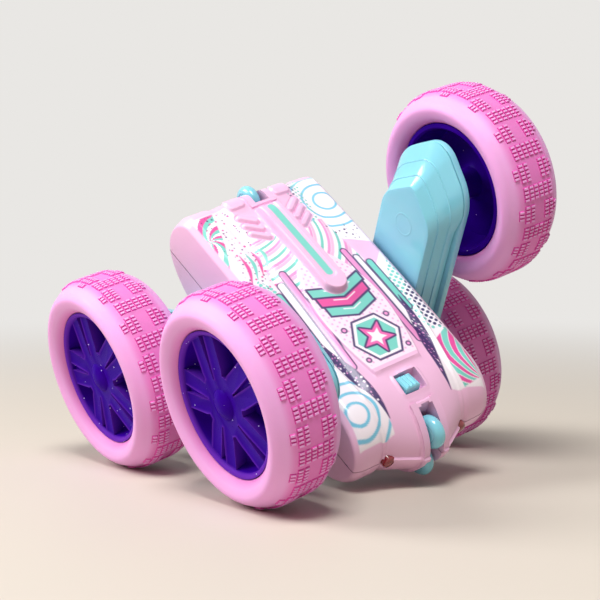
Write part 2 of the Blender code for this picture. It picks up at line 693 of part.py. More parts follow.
def control_parts():
    width, length, thick = BOARD_SIZE
    along, up = BOARD_PLACE
    board = bmesh.new()
    box_into(board, (-width / 2, along - length / 2, up - thick / 2),
             (width / 2, along + length / 2, up + thick / 2))
    add_object("circuit_board", to_mesh(board, "circuit_board"), BODY, "board_green")
    width, length, thick = SWITCH_BODY
    base = up + BOARD_SIZE[2] / 2 + GAP
    body = bmesh.new()
    box_into(body, (-width / 2, SWITCH_PLACE - length / 2, base),
             (width / 2, SWITCH_PLACE + length / 2, base + thick))
    add_object("switch_body", to_mesh(body, "switch_body"), BODY, "switch_black")
    switch_slider(base + thick + GAP)


def switch_slider(base):
    """Knob pushed to the left end of its window, on a base plate under the shell."""
    knob_width, knob_length = SWITCH_KNOB
    travel = SWITCH_WINDOW[0] - knob_width - 2 * GAP
    middle = -travel / 2
    slide = add_empty("switch_slide", BODY, Matrix.Translation((middle, SWITCH_PLACE, base)))
    top = deck_height(0, SWITCH_PLACE) + KNOB_RISE - base
    shape = bmesh.new()
    box_into(shape, (-knob_width / 2, -knob_length / 2, SLIDER_BASE / 2),
             (knob_width / 2, knob_length / 2, top))
    bmesh.ops.bevel(shape, geom=shape.edges[:], offset=KNOB_BEVEL, segments=1, affect="EDGES")
    made = add_object("switch_slider", to_mesh(shape, "switch_slider"), slide, "mint_plastic")
    plate = bmesh.new()
    reach = (SWITCH_WINDOW[0] + travel) / 2
    box_into(plate, (-reach, -knob_length / 2 - SLIDER_BASE, 0),
             (reach, knob_length / 2 + SLIDER_BASE, SLIDER_BASE))
    join(made, add_object("switch_slider_base", to_mesh(plate, "switch_slider_base"), slide))


# Arms

def arm_ring(place, share, shrink=0.0):
    """Outline of an arm at a share of its widening, from the inner face to the outer one."""
    half, end = mix(*ARM_WIDTH, share) / 2, mix(*ARM_END, share)
    tip_round, shoulder_round = mix(*ARM_TIP_ROUND, share), mix(*ARM_SHOULDER_ROUND, share)
    outline = arm_outline(half - shrink, end - shrink, tip_round - shrink, shoulder_round - shrink)
    return [(place, y, z) for y, z in outline]


def arm_share(place):
    return ((place - ARM_INNER_FACE) / HOUSING_DEPTH) ** ARM_FLARE


def arm_housing(name, frame):
    rings = []
    for step in range(TERRACES):
        start = ARM_INNER_FACE + HOUSING_DEPTH * step / TERRACES
        rings.append(arm_ring(start, arm_share(start)))
        rings.append(arm_ring(start + TERRACE_RISER, arm_share(start)))
    rings.append(arm_ring(ARM_SPLIT, 1.0))
    made = add_object(f"{name}_arm_housing", loft_mesh(name + "_housing", rings), frame, "mint_plastic")
    floor = ARM_INNER_FACE + ARM_FLOOR
    ends = (floor, ARM_SPLIT + WALL)
    levels = [arm_ring(place, arm_share(place) - CAVITY_INSET, ARM_WALL) for place in ends]
    cavity = loft_mesh(name + "_cavity", levels)
    cut(made, add_object(f"{name}_arm_cavity", cavity, frame))
    flange_end = FLANGE_FACE - FLANGE_THICKNESS
    sleeve = [(0, floor), (SLEEVE_RADIUS, floor), (SLEEVE_RADIUS, FLANGE_FACE), (SLEEVE_FLANGE, FLANGE_FACE),
              (SLEEVE_FLANGE, flange_end), (0, flange_end)]
    join(made, turned_object(f"{name}_arm_sleeve", sleeve, frame, None, ROUND_SIDES, False))
    posts = bmesh.new()
    holes = bmesh.new()
    rod_into(holes, (flange_end - WALL, 0, 0), (floor + WALL, 0, 0), SHAFT_RADIUS + RUN_GAP, ROUND_SIDES)
    for sign in (1, -1):
        idler, axle = sign * IDLER_REACH, sign * ARM_REACH
        bore = AXLE_RADIUS + RUN_GAP
        rod_into(posts, (floor - GAP, idler, 0), (ARM_SPLIT, idler, 0), POST_RADIUS, ROUND_SIDES)
        rod_into(posts, (floor - GAP, axle, 0), (gear_start() - GAP, axle, 0), bore + TUBE_WALL, ROUND_SIDES)
        rod_into(holes, (floor, axle, 0), (ARM_SPLIT, axle, 0), bore, ROUND_SIDES)
        rod_into(holes, (ARM_SPLIT - SMALL_SCREW_LENGTH, idler, 0), (ARM_SPLIT + WALL, idler, 0),
                 SCREW_SHANK + GAP)
    join(made, add_object(f"{name}_arm_posts", to_mesh(posts, name + "_posts"), frame))
    cut(made, add_object(f"{name}_arm_holes", to_mesh(holes, name + "_arm_holes"), frame))


def arm_cover(name, frame):
    inner = ARM_SPLIT + GAP
    seat = ARM_OUTER_FACE - SCREW_HEAD[1] - GAP
    rings = [arm_ring(inner, 1.0), arm_ring(ARM_OUTER_FACE - COVER_BEVEL, 1.0),
             arm_ring(ARM_OUTER_FACE, 1.0, COVER_BEVEL)]
    made = add_object(f"{name}_arm_cover", loft_mesh(name + "_cover", rings), frame, "mint_plastic")
    holes = bmesh.new()
    low, high = inner - WALL, ARM_OUTER_FACE + WALL
    shaft_end = mix(inner, ARM_OUTER_FACE, 0.5)
    rod_into(holes, (low, 0, 0), (shaft_end, 0, 0), SHAFT_RADIUS + RUN_GAP, ROUND_SIDES)
    for sign in (1, -1):
        idler, axle = sign * IDLER_REACH, sign * ARM_REACH
        rod_into(holes, (low, axle, 0), (high, axle, 0), AXLE_RADIUS + RUN_GAP, ROUND_SIDES)
        rod_into(holes, (seat, idler, 0), (high, idler, 0), SCREW_HEAD[0] + GAP, ROUND_SIDES)
        rod_into(holes, (low, idler, 0), (seat + GAP, idler, 0), SCREW_SHANK + GAP)
    cut(made, add_object(f"{name}_cover_holes", to_mesh(holes, name + "_cover_holes"), frame))
    for end, sign in ENDS[name].items():
        place = Matrix.Translation((seat + GAP, sign * IDLER_REACH, 0))
        screw_object(f"{name}_{end}_arm_screw", frame, place, SMALL_SCREW_LENGTH)


# Gears

def gear_start():
    return ARM_SPLIT - GAP - GEAR_WIDTH - GEAR_CLEARANCE


def gear_outline(teeth, turn):
    """Involute teeth with straight chords from the base circle to the tips."""
    pitch = teeth * MODULE / 2
    base = pitch * math.cos(PRESSURE_ANGLE)
    tip, root = pitch + ADDENDUM * MODULE, pitch - DEDENDUM * MODULE
    involute = math.tan(PRESSURE_ANGLE) - PRESSURE_ANGLE
    half_pitch = math.pi / (2 * teeth) - GEAR_BACKLASH / (2 * pitch)
    tip_angle = math.acos(base / tip)
    half_tip = half_pitch + involute - (math.tan(tip_angle) - tip_angle)
    half_base = half_pitch + involute
    points = []
    for tooth in range(teeth):
        middle = turn + 2 * math.pi * tooth / teeth
        for radius, angle in ((root, -half_base), (base, -half_base), (tip, -half_tip),
                              (tip, half_tip), (base, half_base), (root, half_base)):
            points.append((radius * math.cos(middle + angle), radius * math.sin(middle + angle)))
    return points


def gear_mesh(name, teeth, turn, bore=None):
    outlines = [gear_outline(teeth, turn)]
    if bore:
        outlines.append(circle(bore, ROUND_SIDES))
    return extruded_mesh(name, outlines, gear_start(), gear_start() + GEAR_WIDTH)


def shaft_with_gear(name, parent, teeth, radius, start, end):
    """Gear joined to a round shaft."""
    made = add_object(name, gear_mesh(name, teeth, 0.0), parent, "gear_white")
    profile = [(0, end), (radius, end), (radius, start), (0, start)]
    join(made, turned_object(name + "_shaft", profile, parent, None, ROUND_SIDES, False))


def arm_gears(name, frame):
    # Even tooth counts put a tooth of the drive gear towards each idler, which then shows it a gap
    half_tooth = math.pi / GEAR_TEETH
    shaft_inner = MOTOR_OUTER - SHAFT_ENTRY + GAP
    shaft_outer = mix(ARM_SPLIT + GAP, ARM_OUTER_FACE, 0.5) - GAP
    spin = add_empty(f"{name}_drive_axis", frame)
    shaft_with_gear(f"{name}_drive_shaft", spin, GEAR_TEETH, SHAFT_RADIUS, shaft_inner, shaft_outer)
    for end, sign in ENDS[name].items():
        spin = add_empty(f"{name}_{end}_idler_axis", frame, Matrix.Translation((0, sign * IDLER_REACH, 0)))
        idler = gear_mesh(f"{name}_{end}_idler", GEAR_TEETH, half_tooth, POST_RADIUS + RUN_GAP)
        add_object(f"{name}_{end}_idler_gear", idler, spin, "gear_white")


# Wheels

def shoulder_point(radius, turn):
    """Point (distance from the axis, height) on a round about the tyre's shoulder."""
    out = TYRE_RADIUS - TYRE_SHOULDER + radius * math.sin(turn)
    return out, TREAD_HALF_WIDTH + radius * math.cos(turn)


def tyre_profile():
    """Hollow soft tyre: outer side from one bead over the tread to the other, then the inside back."""
    bead = RIM_RADIUS + GAP
    turns = [mix(TYRE_CREST, math.pi / 2, share) for share in (0, 0.3, 0.65, 1)]
    half = [(bead, RIM_FACE)] + [shoulder_point(TYRE_SHOULDER, turn) for turn in turns]
    hollow = [(bead, RIM_FACE - TYRE_WALL)]
    hollow += [shoulder_point(TYRE_SHOULDER - TYRE_WALL, turn) for turn in (turns[0], turns[-1])]
    outer = half + [(radius, -height) for radius, height in reversed(half)]
    inside = [(radius, -height) for radius, height in hollow] + list(reversed(hollow))
    return outer + inside


def spoke_star():
    """Outline of all the split spokes in one plate, out into the rim."""
    reach = RIM_RADIUS - RIM_WALL / 2
    valley = BOSS_RADIUS * 1.5
    points = []
    for spoke in range(SPOKES):
        middle = SPOKE_START + 2 * math.pi * spoke / SPOKES
        along = Vector((math.cos(middle), math.sin(middle)))
        across = Vector((-along.y, along.x))
        half, groove = SPOKE_WIDTH / 2, SPOKE_GROOVE / 2
        spots = [(valley, -half * 0.9), (reach, -half), (reach, -groove), (valley * 1.1, 0.0),
                 (reach, groove), (reach, half), (valley, half * 0.9)]
        points += [tuple(along * out + across * aside) for out, aside in spots]
    return points


def hub(name, parent):
    inner_rim = RIM_RADIUS - RIM_WALL
    web_back = WEB_FACE - WEB_THICKNESS
    bore = AXLE_RADIUS + GAP
    profile = [(0, WEB_FACE), (inner_rim, WEB_FACE), (inner_rim, RIM_FACE - RIM_WALL / 2),
               (RIM_RADIUS, RIM_FACE), (RIM_RADIUS, -RIM_FACE), (inner_rim, -RIM_FACE),
               (inner_rim, web_back), (BOSS_RADIUS, web_back), (BOSS_RADIUS, -BOSS_INNER), (0, -BOSS_INNER)]
    made = turned_object(name, profile, parent, "hub_violet", HUB_SIDES, False)
    spoke_top = WEB_FACE + SPOKE_RISE
    star = extruded_mesh(name + "_spokes", [spoke_star()], WEB_FACE - WEB_THICKNESS / 2, spoke_top)
    join(made, add_object(name + "_spokes", star, parent))
    seat = bmesh.new()
    rod_into(seat, (-BOSS_INNER - WALL, 0, 0), (spoke_top + WALL, 0, 0), bore, ROUND_SIDES)
    cut(made, add_object(name + "_seat", to_mesh(seat, name + "_seat"), parent))


def wheel(name, arm, sign):
    track = WHEEL_TRACK / 2
    axis = add_empty(f"{name}_wheel_axis", arm, Matrix.Translation((track, sign * ARM_REACH, 0)))
    turned_object(f"{name}_tyre", tyre_profile(), axis, "tyre_pink", TYRE_SIDES, True)
    hub(f"{name}_hub", axis)
    gear_axis = add_empty(f"{name}_gear_axis", arm, Matrix.Translation((0, sign * ARM_REACH, 0)))
    inner_end = ARM_INNER_FACE + ARM_FLOOR + GAP
    spoke_top = track + WEB_FACE + SPOKE_RISE
    shaft_with_gear(f"{name}_axle", gear_axis, WHEEL_TEETH, AXLE_RADIUS, inner_end, spoke_top)
    seat = Matrix.Translation((spoke_top + GAP, sign * ARM_REACH, 0))
    profile = [(0, CAP_RISE), (0.7 * BOSS_RADIUS, 0.8 * CAP_RISE), (0.9 * BOSS_RADIUS, 0), (0, 0)]
    turned_object(f"{name}_hub_cap", profile, arm, "hub_violet", ROUND_SIDES, False, seat)


# Assembly

def stand_on_floor():
    """Move the car so that its box is centred over the origin and stands on Z = 0."""
    bpy.context.view_layer.update()
    graph = bpy.context.evaluated_depsgraph_get()
    low, high = Vector((9, 9, 9)), Vector((-9, -9, -9))
    for part in PARTS.objects:
        if part.type != "MESH":
            continue
        solid = part.evaluated_get(graph)
        for vertex in solid.data.vertices:
            spot = solid.matrix_world @ vertex.co
            low = Vector(map(min, low, spot))
            high = Vector(map(max, high, spot))
    CAR.location = (-(low.x + high.x) / 2, -(low.y + high.y) / 2, -low.z)


def build():
    shell("upper_shell", 1)
    shell("lower_shell", -1)
    deck_panel()
    rollers()
    lenses()
    body_screws()
    motors()
    power_parts()
    control_parts()
    for name, matrix in SIDES.items():
        frame = add_empty(f"{name}_arm", CAR, matrix)
        arm_housing(name, frame)
        arm_cover(name, frame)
        arm_gears(name, frame)
        for end, sign in ENDS[name].items():
            wheel(f"{name}_{end}", frame, sign)
    stand_on_floor()


build()
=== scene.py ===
"""Looks of the double-sided stunt car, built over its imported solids.

Shapes are worked out in millimetres in the frame of what carries them: the body (X across, Y to the front,
Z out of the upper deck), an arm or a wheel (X outwards), and are placed in metres by that frame's matrix.
"""
import json
import math

import bmesh
import bpy
import numpy as np
from mathutils import Matrix, Vector


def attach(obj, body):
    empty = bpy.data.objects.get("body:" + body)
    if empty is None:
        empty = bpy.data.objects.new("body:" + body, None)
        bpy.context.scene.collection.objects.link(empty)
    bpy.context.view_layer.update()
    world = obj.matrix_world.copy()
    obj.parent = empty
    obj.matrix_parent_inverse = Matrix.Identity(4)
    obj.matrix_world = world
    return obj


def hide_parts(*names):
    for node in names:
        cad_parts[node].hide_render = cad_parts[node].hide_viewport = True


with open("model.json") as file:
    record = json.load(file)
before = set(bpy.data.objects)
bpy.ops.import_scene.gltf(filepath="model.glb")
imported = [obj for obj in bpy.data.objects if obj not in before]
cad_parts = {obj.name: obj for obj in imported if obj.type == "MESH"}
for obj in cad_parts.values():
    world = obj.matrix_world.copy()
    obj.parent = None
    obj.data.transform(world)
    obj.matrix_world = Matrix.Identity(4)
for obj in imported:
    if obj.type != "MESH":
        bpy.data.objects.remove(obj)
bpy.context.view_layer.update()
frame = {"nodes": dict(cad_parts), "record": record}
MM = 0.001
SIDES = (("left", -1), ("right", 1))

# Frames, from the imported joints
JOINTS = {joint["name"]: joint for joint in frame["record"]["behaviour"]["joints"]}
BODY_PITCH = math.radians(41.2)
RIGHT_SWING = math.radians(55.0)
PIVOT = Vector(JOINTS["right_arm_swing"]["pos_m"])
ACROSS = Vector(JOINTS["right_arm_swing"]["axis"]).normalized()
CAR = Matrix.Translation(PIVOT) @ Matrix.Rotation(-math.atan2(ACROSS.z, ACROSS.x), 4, "Y")
BODY = CAR @ Matrix.Rotation(BODY_PITCH, 4, "X")
ARMS = {"left": CAR @ Matrix.Rotation(math.pi, 4, "Z"),
        "right": CAR @ Matrix.Rotation(-RIGHT_SWING, 4, "X")}


# Colours, as they read on the object, in linear values

def linear(red, green, blue):
    def one(value):
        value /= 255
        return value / 12.92 if value <= 0.04045 else ((value + 0.055) / 1.055) ** 2.4
    return np.array([one(red), one(green), one(blue)])


PINK = linear(240, 188, 220)
WHITE = linear(250, 240, 246)
MINT = linear(112, 205, 190)
AQUA = linear(134, 212, 229)
SKY = linear(112, 196, 224)
MAGENTA = linear(226, 70, 152)
NAVY = linear(42, 22, 92)
BLUSH = linear(240, 186, 216)
# The tyre's pale tone, then a deeper copy of it that is painted shade, laid on the tread, at the dashes'
# feet and by the rim
TYRE = linear(239, 170, 226)
TYRE_SHADE = linear(224, 46, 164)
VIOLET = linear(58, 4, 158)
VIOLET_DEEP = linear(46, 2, 132)
# Paler violet, painted as highlight on the hub's lip and spoke ridges
VIOLET_HIGHLIGHT = linear(106, 44, 178)
BACKDROP = linear(233, 231, 228)
STEEL = np.array((0.62, 0.62, 0.64))
GLITTER = (0.70, 0.60, 0.95)
LENS_REDS = (0.16, 0.006, 0.012), (0.30, 0.012, 0.02)


# Node helpers

BUMP_DISTANCE = 0.0002
BLEED_SCALE = 0.002


def new_material(name):
    made = bpy.data.materials.new(name)
    made.use_nodes = True
    tree = made.node_tree
    return made, tree, tree.nodes["Principled BSDF"]


def feed(tree, node, values):
    """Inputs of a node, from other nodes' sockets or plain values."""
    for key, value in values.items():
        if isinstance(value, bpy.types.NodeSocket):
            tree.links.new(value, node.inputs[key])
        else:
            node.inputs[key].default_value = value


def add_node(tree, kind, inputs=None, **settings):
    made = tree.nodes.new(kind)
    for key, value in settings.items():
        setattr(made, key, value)
    feed(tree, made, inputs or {})
    return made


def carried(tree, name):
    """Values that a mesh carries under a name."""
    return add_node(tree, "ShaderNodeAttribute", attribute_name=name).outputs


def worked(tree, operation, first, second):
    return add_node(tree, "ShaderNodeMath", {0: first, 1: second}, operation=operation).outputs[0]


def noise(tree, scale, detail=2.0, coordinate=None):
    source = coordinate or add_node(tree, "ShaderNodeTexCoord").outputs["Object"]
    made = add_node(tree, "ShaderNodeTexNoise", {"Scale": scale, "Detail": detail, "Vector": source})
    return made.outputs["Fac"]


def ranged(tree, source, low, high):
    made = add_node(tree, "ShaderNodeMapRange", {"Value": source, "To Min": low, "To Max": high})
    return made.outputs["Result"]


def mixed(tree, share, first, second):
    """Colour mix of two sockets or plain colours."""
    made = add_node(tree, "ShaderNodeMix", {0: share}, data_type="RGBA")
    for key, value in ((6, first), (7, second)):
        feed(tree, made, {key: value if isinstance(value, bpy.types.NodeSocket) else (*value, 1.0)})
    return made.outputs[2]


def bumped(tree, height, strength):
    values = {"Height": height, "Strength": strength, "Distance": BUMP_DISTANCE}
    return add_node(tree, "ShaderNodeBump", values).outputs["Normal"]


def shown(tree):
    """Whether a ray shows the backdrop: seen directly, or in gloss or glass."""
    path = add_node(tree, "ShaderNodeLightPath")
    total = path.outputs["Is Camera Ray"]
    for kind in ("Is Glossy Ray", "Is Transmission Ray"):
        total = worked(tree, "MAXIMUM", total, path.outputs[kind])
    return total


def choose_shader(tree, output, share, first, second):
    """Mix of two shaders on an output node."""
    choice = add_node(tree, "ShaderNodeMixShader", {0: share, 1: first.outputs[0], 2: second.outputs[0]})
    feed(tree, tree.nodes[output], {"Surface": choice.outputs[0]})


# Materials

def moulded_plastic(name, colour, deep, roughness, grain, coat, soft=0.0, printed=False):
    """Moulded plastic: colour drift, fine grain in the gloss, and the print where a mesh carries one."""
    made, tree, shader = new_material(name)
    drift = noise(tree, 9.0, 3.0)
    base = mixed(tree, ranged(tree, drift, 0.0, 1.0), colour, deep)
    if printed:
        base = mixed(tree, ranged(tree, drift, 0.92, 1.0), base, carried(tree, "print")["Color"])
    fine = noise(tree, 620.0)
    feed(tree, shader, {"Base Color": base, "Roughness": ranged(tree, fine, *roughness),
                        "Normal": bumped(tree, fine, grain), "Coat Weight": coat, "Coat Roughness": 0.12})
    if soft:
        feed(tree, shader, {"Subsurface Weight": soft, "Subsurface Radius": (1.0, 0.5, 0.8),
                            "Subsurface Scale": BLEED_SCALE})
    return made


def tyre_material():
    """Soft vinyl, paler on the dashes' tops than between them, where painted shade is mixed in by the share
    that the mesh carries.
    """
    made, tree, shader = new_material("soft_pink_vinyl")
    base = mixed(tree, ranged(tree, noise(tree, 26.0, 3.0), 0.0, 0.35), TYRE, TYRE * 0.92)
    fine = noise(tree, 900.0)
    feed(tree, shader, {"Base Color": mixed(tree, carried(tree, "painted_shade")["Fac"], base, TYRE_SHADE),
                        "Roughness": ranged(tree, fine, 0.44, 0.56), "Normal": bumped(tree, fine, 0.12),
                        "Specular IOR Level": 0.3, "Subsurface Weight": 0.12,
                        "Subsurface Radius": (1.0, 0.35, 0.7), "Subsurface Scale": BLEED_SCALE})
    return made


def hub_material():
    """Deep violet plastic with fine glitter in it, and a highlight painted paler along its lip and ridges.
    """
    made, tree, shader = new_material("violet_glitter_plastic")
    coordinate = add_node(tree, "ShaderNodeTexCoord").outputs["Object"]
    flakes = add_node(tree, "ShaderNodeTexVoronoi", {"Scale": 420.0, "Vector": coordinate}).outputs
    near = worked(tree, "LESS_THAN", flakes["Distance"], 0.11)
    split = add_node(tree, "ShaderNodeSeparateColor", {"Color": flakes["Color"]})
    rare = worked(tree, "GREATER_THAN", split.outputs["Red"], 0.80)
    drift = ranged(tree, noise(tree, 110.0, 3.0, coordinate), 0.0, 1.0)
    base = mixed(tree, drift, VIOLET_DEEP, VIOLET)
    base = mixed(tree, carried(tree, "painted_highlight")["Fac"], base, VIOLET_HIGHLIGHT)
    base = mixed(tree, worked(tree, "MULTIPLY", near, rare), base, GLITTER)
    fine = noise(tree, 2000.0, 2.0, coordinate)
    feed(tree, shader, {"Base Color": base, "Roughness": ranged(tree, fine, 0.24, 0.34),
                        "Normal": bumped(tree, fine, 0.04), "Specular IOR Level": 0.012})
    return made


def lens_material():
    made, tree, shader = new_material("dark_red_lens")
    base = mixed(tree, ranged(tree, noise(tree, 500.0), 0.0, 1.0), *LENS_REDS)
    feed(tree, shader, {"Base Color": base, "Roughness": 0.12, "Coat Weight": 0.8})
    return made


def metal_material(name, colour):
    made, tree, shader = new_material(name)
    fine = noise(tree, 700.0, 3.0)
    feed(tree, shader, {"Base Color": mixed(tree, fine, colour, colour * 0.8),
                        "Roughness": ranged(tree, fine, 0.22, 0.42), "Metallic": 1.0})
    return made


PLASTICS = {
    # name, colour, deeper colour, roughness, grain, coat, softness, printed
    "shell": ("pink_shell_print", PINK, PINK * 0.95, (0.30, 0.40), 0.05, 0.15, 0.0, True),
    "pink": ("pink_shell_plain", PINK, PINK * 0.95, (0.30, 0.40), 0.05, 0.15),
    "dark": ("shaded_pink", PINK * 0.55, PINK * 0.5, (0.5, 0.6), 0.05, 0.0),
    "mint": ("aqua_gloss_plastic", AQUA, AQUA * 0.93, (0.16, 0.24), 0.03, 0.5, 0.1),
    "nylon": ("white_nylon", linear(228, 226, 218), linear(214, 212, 204), (0.35, 0.45), 0.05, 0.0),
    "battery": ("battery_wrap", linear(40, 96, 160), linear(30, 78, 140), (0.3, 0.4), 0.05, 0.1),
    "board": ("board_mask", linear(28, 110, 62), linear(20, 92, 50), (0.4, 0.5), 0.1, 0.1),
    "black": ("black_moulding", linear(34, 34, 36), linear(26, 26, 28), (0.4, 0.5), 0.08, 0.0),
}
MATERIALS = {key: moulded_plastic(*values) for key, values in PLASTICS.items()}
MATERIALS.update(tyre=tyre_material(), hub=hub_material(), lens=lens_material(),
                 steel=metal_material("plated_steel", STEEL))
# Material of each slot's solids, and slot of each material's pieces
DRESS = {"print_white": "pink", "pink_shell": "pink", "mint_plastic": "mint", "tyre_pink": "tyre",
         "hub_violet": "hub", "lens_red": "lens", "gear_white": "nylon", "motor_steel": "steel",
         "battery_wrap": "battery", "board_green": "board", "switch_black": "black"}
SLOTS = {material: slot for slot, material in DRESS.items()}
SLOTS.update(shell="pink_shell", dark="pink_shell")


# Mesh helpers

DOUBLES = 0.001


def plain_mesh(name, verts, faces):
    mesh = bpy.data.meshes.new(name)
    mesh.from_pydata(verts, [], faces)
    return mesh


def opened(mesh):
    shape = bmesh.new()
    shape.from_mesh(mesh)
    return shape


def closed_into(mesh, shape):
    """The mesh, with what was made of it and normals outwards."""
    bmesh.ops.recalc_face_normals(shape, faces=shape.faces)
    shape.to_mesh(mesh)
    shape.free()
    return mesh


def clean_mesh(name, verts, faces):
    mesh = plain_mesh(name, verts, faces)
    shape = opened(mesh)
    bmesh.ops.remove_doubles(shape, verts=shape.verts, dist=DOUBLES)
    return closed_into(mesh, shape)


def grid_faces(rows, count, wrap_rows=False, wrap_count=False):
    """Quads between rows of points, the last joined to the first where wrapped."""
    faces = []
    for i in range(rows if wrap_rows else rows - 1):
        low, high = i * count, (i + 1) % rows * count
        for k in range(count if wrap_count else count - 1):
            m = (k + 1) % count
            faces.append((low + k, low + m, high + m, high + k))
    return faces


def turned(name, profile, sides, closed=False):
    """Mesh of (radius, place along X) points turned about X."""
    angles = [2 * math.pi * i / sides for i in range(sides)]
    verts = [(place, radius * math.cos(angle), radius * math.sin(angle))
             for angle in angles for radius, place in profile]
    return clean_mesh(name, verts, grid_faces(sides, len(profile), True, closed))


def loft(name, rings):
    """Mesh over rings of points, closed at both ends."""
    verts = [point for ring in rings for point in ring]
    count = len(rings[0])
    faces = grid_faces(len(rings), count, False, True)
    faces += [tuple(range(count)), tuple(range(len(verts) - count, len(verts)))]
    return clean_mesh(name, verts, faces)


def prism(name, outline, low, high):
    """Mesh of a (y, z) outline between two places on X."""
    return loft(name, [[(place, y, z) for y, z in outline] for place in (low, high)])


def linked(name, data):
    made = bpy.data.objects.new(name, data)
    bpy.context.scene.collection.objects.link(made)
    return made


def finish_object(name, mesh, matrix, material, body, replaced=(), smooth=35):
    """Piece made in millimetres, in its material and place, on a body and instead of solids."""
    mesh.materials.clear()
    mesh.materials.append(MATERIALS[material])
    mesh.shade_smooth()
    mesh.set_sharp_from_angle(angle=math.radians(smooth))
    mesh.transform(matrix @ Matrix.Scale(MM, 4))
    made = linked(name, mesh)
    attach(made, body)
    if replaced:
        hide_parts(*replaced)
    return made


SOFT_EDGE = 0.2


def smoothstep(low, high, value):
    share = np.clip((value - low) / (high - low), 0.0, 1.0)
    return share * share * (3 - 2 * share)


def mix(a, b, share):
    return a + (b - a) * share


def edged(distance, soft=SOFT_EDGE):
    """Share inside a signed distance, with a soft edge."""
    return smoothstep(soft, -soft, distance)


# Body surface, as in the solids, with smooth stations

STATIONS = np.array([
    # across, rear tip, rear round, rear height, front tip, front round, front height
    (0.0, 69.5, 29.5, 18.8, 57.0, 7.5, 22.8),
    (6.0, 69.0, 29.0, 18.8, 57.0, 7.5, 22.8),
    (15.0, 64.5, 24.5, 18.6, 57.5, 8.0, 22.4),
    (18.5, 62.2, 20.0, 17.4, 58.0, 9.0, 21.4),
    (20.5, 63.2, 17.2, 17.6, 59.4, 10.5, 21.6),
    (28.3, 63.0, 17.0, 17.4, 59.6, 11.0, 21.3),
    (31.5, 62.0, 16.0, 14.8, 58.7, 10.7, 18.0),
])
HALF_WIDTH = 31.5
LOWER_DECK = 21.0
FRONT_AXIS = 5.0
RAKE_START = 12.0
CROWN = 1.0
SEAM = 0.15
EDGE_ROUND = 0.9
LOWER_REAR_EXTRA = 4.0
ROLLERS = {"rear_upper": (-64.5, 7.8), "rear_lower": (-64.5, -7.8),
           "front_upper": (53.5, 16.7), "front_lower": (50.5, -7.5)}
SLOT = 3.2
EAR = 2.7
EAR_RISE = 0.8


def station_values(across):
    """Sizes of the outline at a place across the body, smoothed, and its drop at the flank."""
    spread = np.array([-0.7, -0.35, 0.0, 0.35, 0.7])
    places = np.minimum(np.abs(across + spread), HALF_WIDTH)
    values = [np.interp(places, STATIONS[:, 0], STATIONS[:, k]).mean() for k in range(1, 7)]
    edge = max(0.0, abs(across) - (HALF_WIDTH - EDGE_ROUND))
    drop = EDGE_ROUND - math.sqrt(max(0.0, EDGE_ROUND ** 2 - edge * edge))
    return values, -drop


def arc(centre, radii, first, last, count):
    angles = np.radians(np.linspace(first, last, count))
    return np.stack([centre[0] + radii[0] * np.cos(angles), centre[1] + radii[1] * np.sin(angles)], 1)


def section(across, side, grow=0.0, counts=(60, 360, 30, 40)):
    """Outline (y, z) from the rear seam over the deck to the front seam."""
    (rear_tip, rear_round, rear_height, front_tip, front_round, front_height), drop = station_values(across)
    grow += drop
    depth = LOWER_DECK - (STATIONS[0][6] - front_height) + grow
    rear_tip, front_tip = rear_tip + grow, front_tip + grow
    rake = (FRONT_AXIS + depth, front_tip - RAKE_START)
    low_angle = math.degrees(math.asin(FRONT_AXIS / rake[0]))
    rear_n, deck_n, front_n, rake_n = counts
    if side > 0:
        rear_height, front_height = rear_height + grow, front_height + grow
        rear_centre = rear_round + grow - rear_tip
        front_centre = front_tip - front_round - grow
        share = np.linspace(0, 1, deck_n)[1:-1]
        deck = np.stack([mix(rear_centre, front_centre, share),
                         mix(rear_height, front_height, share) + CROWN * 4 * share * (1 - share)], 1)
        return np.concatenate([
            arc((rear_centre, 0), (rear_round + grow, rear_height), 180, 90, rear_n), deck,
            arc((front_centre, FRONT_AXIS), (front_round + grow, front_height - FRONT_AXIS), 90, 0, front_n),
            arc((RAKE_START, FRONT_AXIS), (rake[1], rake[0]), 0, -low_angle, 6)[1:]])
    rear_round += LOWER_REAR_EXTRA
    rear_centre = rear_round + grow - rear_tip
    share = np.linspace(0, 1, deck_n // 2)[1:-1]
    deck = np.stack([mix(rear_centre, RAKE_START, share), np.full(len(share), -depth)], 1)
    return np.concatenate([
        arc((rear_centre, 0), (rear_round + grow, depth), 180, 270, rear_n), deck,
        arc((RAKE_START, FRONT_AXIS), (rake[1], rake[0]), 270, 360 - low_angle, rake_n)])


# Mouldings of the decks: places, and boxes as (centre, half sizes, corner radius)

PANEL_REAR, PANEL_LENGTH, PANEL_HEIGHT = -41.0, 80.0, 1.1
SPINE_HALF_WIDTH, SPINE_FRONT = 5.3, 43.6
SPINE_GROOVE = ((0.0, 3.0), (0.0, 42.0), 2.2)
# Ends of the slanted vents beside the spine
VENTS = [((sign * 13.0, 42.6 - drop), (sign * 8.2, 38.8 - drop))
         for sign in (-1, 1) for drop in (0.0, 4.4, 8.8)]
VENT_RADIUS = 1.55
# Line between the middle and a cheek on the rear half: places along, places across
RIDGE_LINE = ((-62, -50, -30, -8), (18.2, 18.8, 22.5, 27.0))
REAR_RIM = ((0.0, -70.0), (6.0, 14.2), 2.2)
UPPER_FRONT_RIM = ((0.0, 60.0), (6.0, 15.0), 1.6)
LOWER_FRONT_RIM = ((0.0, 57.0), (6.0, 15.4), 1.6)
RIM_HEIGHT = 0.8
FRONT_PAD = (10.6, 50.2)
SWITCH_PLACE = -48.0
SWITCH_WINDOW = ((0.0, SWITCH_PLACE), (4.8, 3.7), 0.7)
SWITCH_TAB = ((0.0, -43.4), (2.6, 1.0), 0.3)
BATTERY_DOOR = ((0.0, -24.0), (19.0, 15.5), 0.2)
WELL_ACROSS, WELL_RADIUS = 24.0, 2.7
WELL_PLACES = (38.0, -43.0)


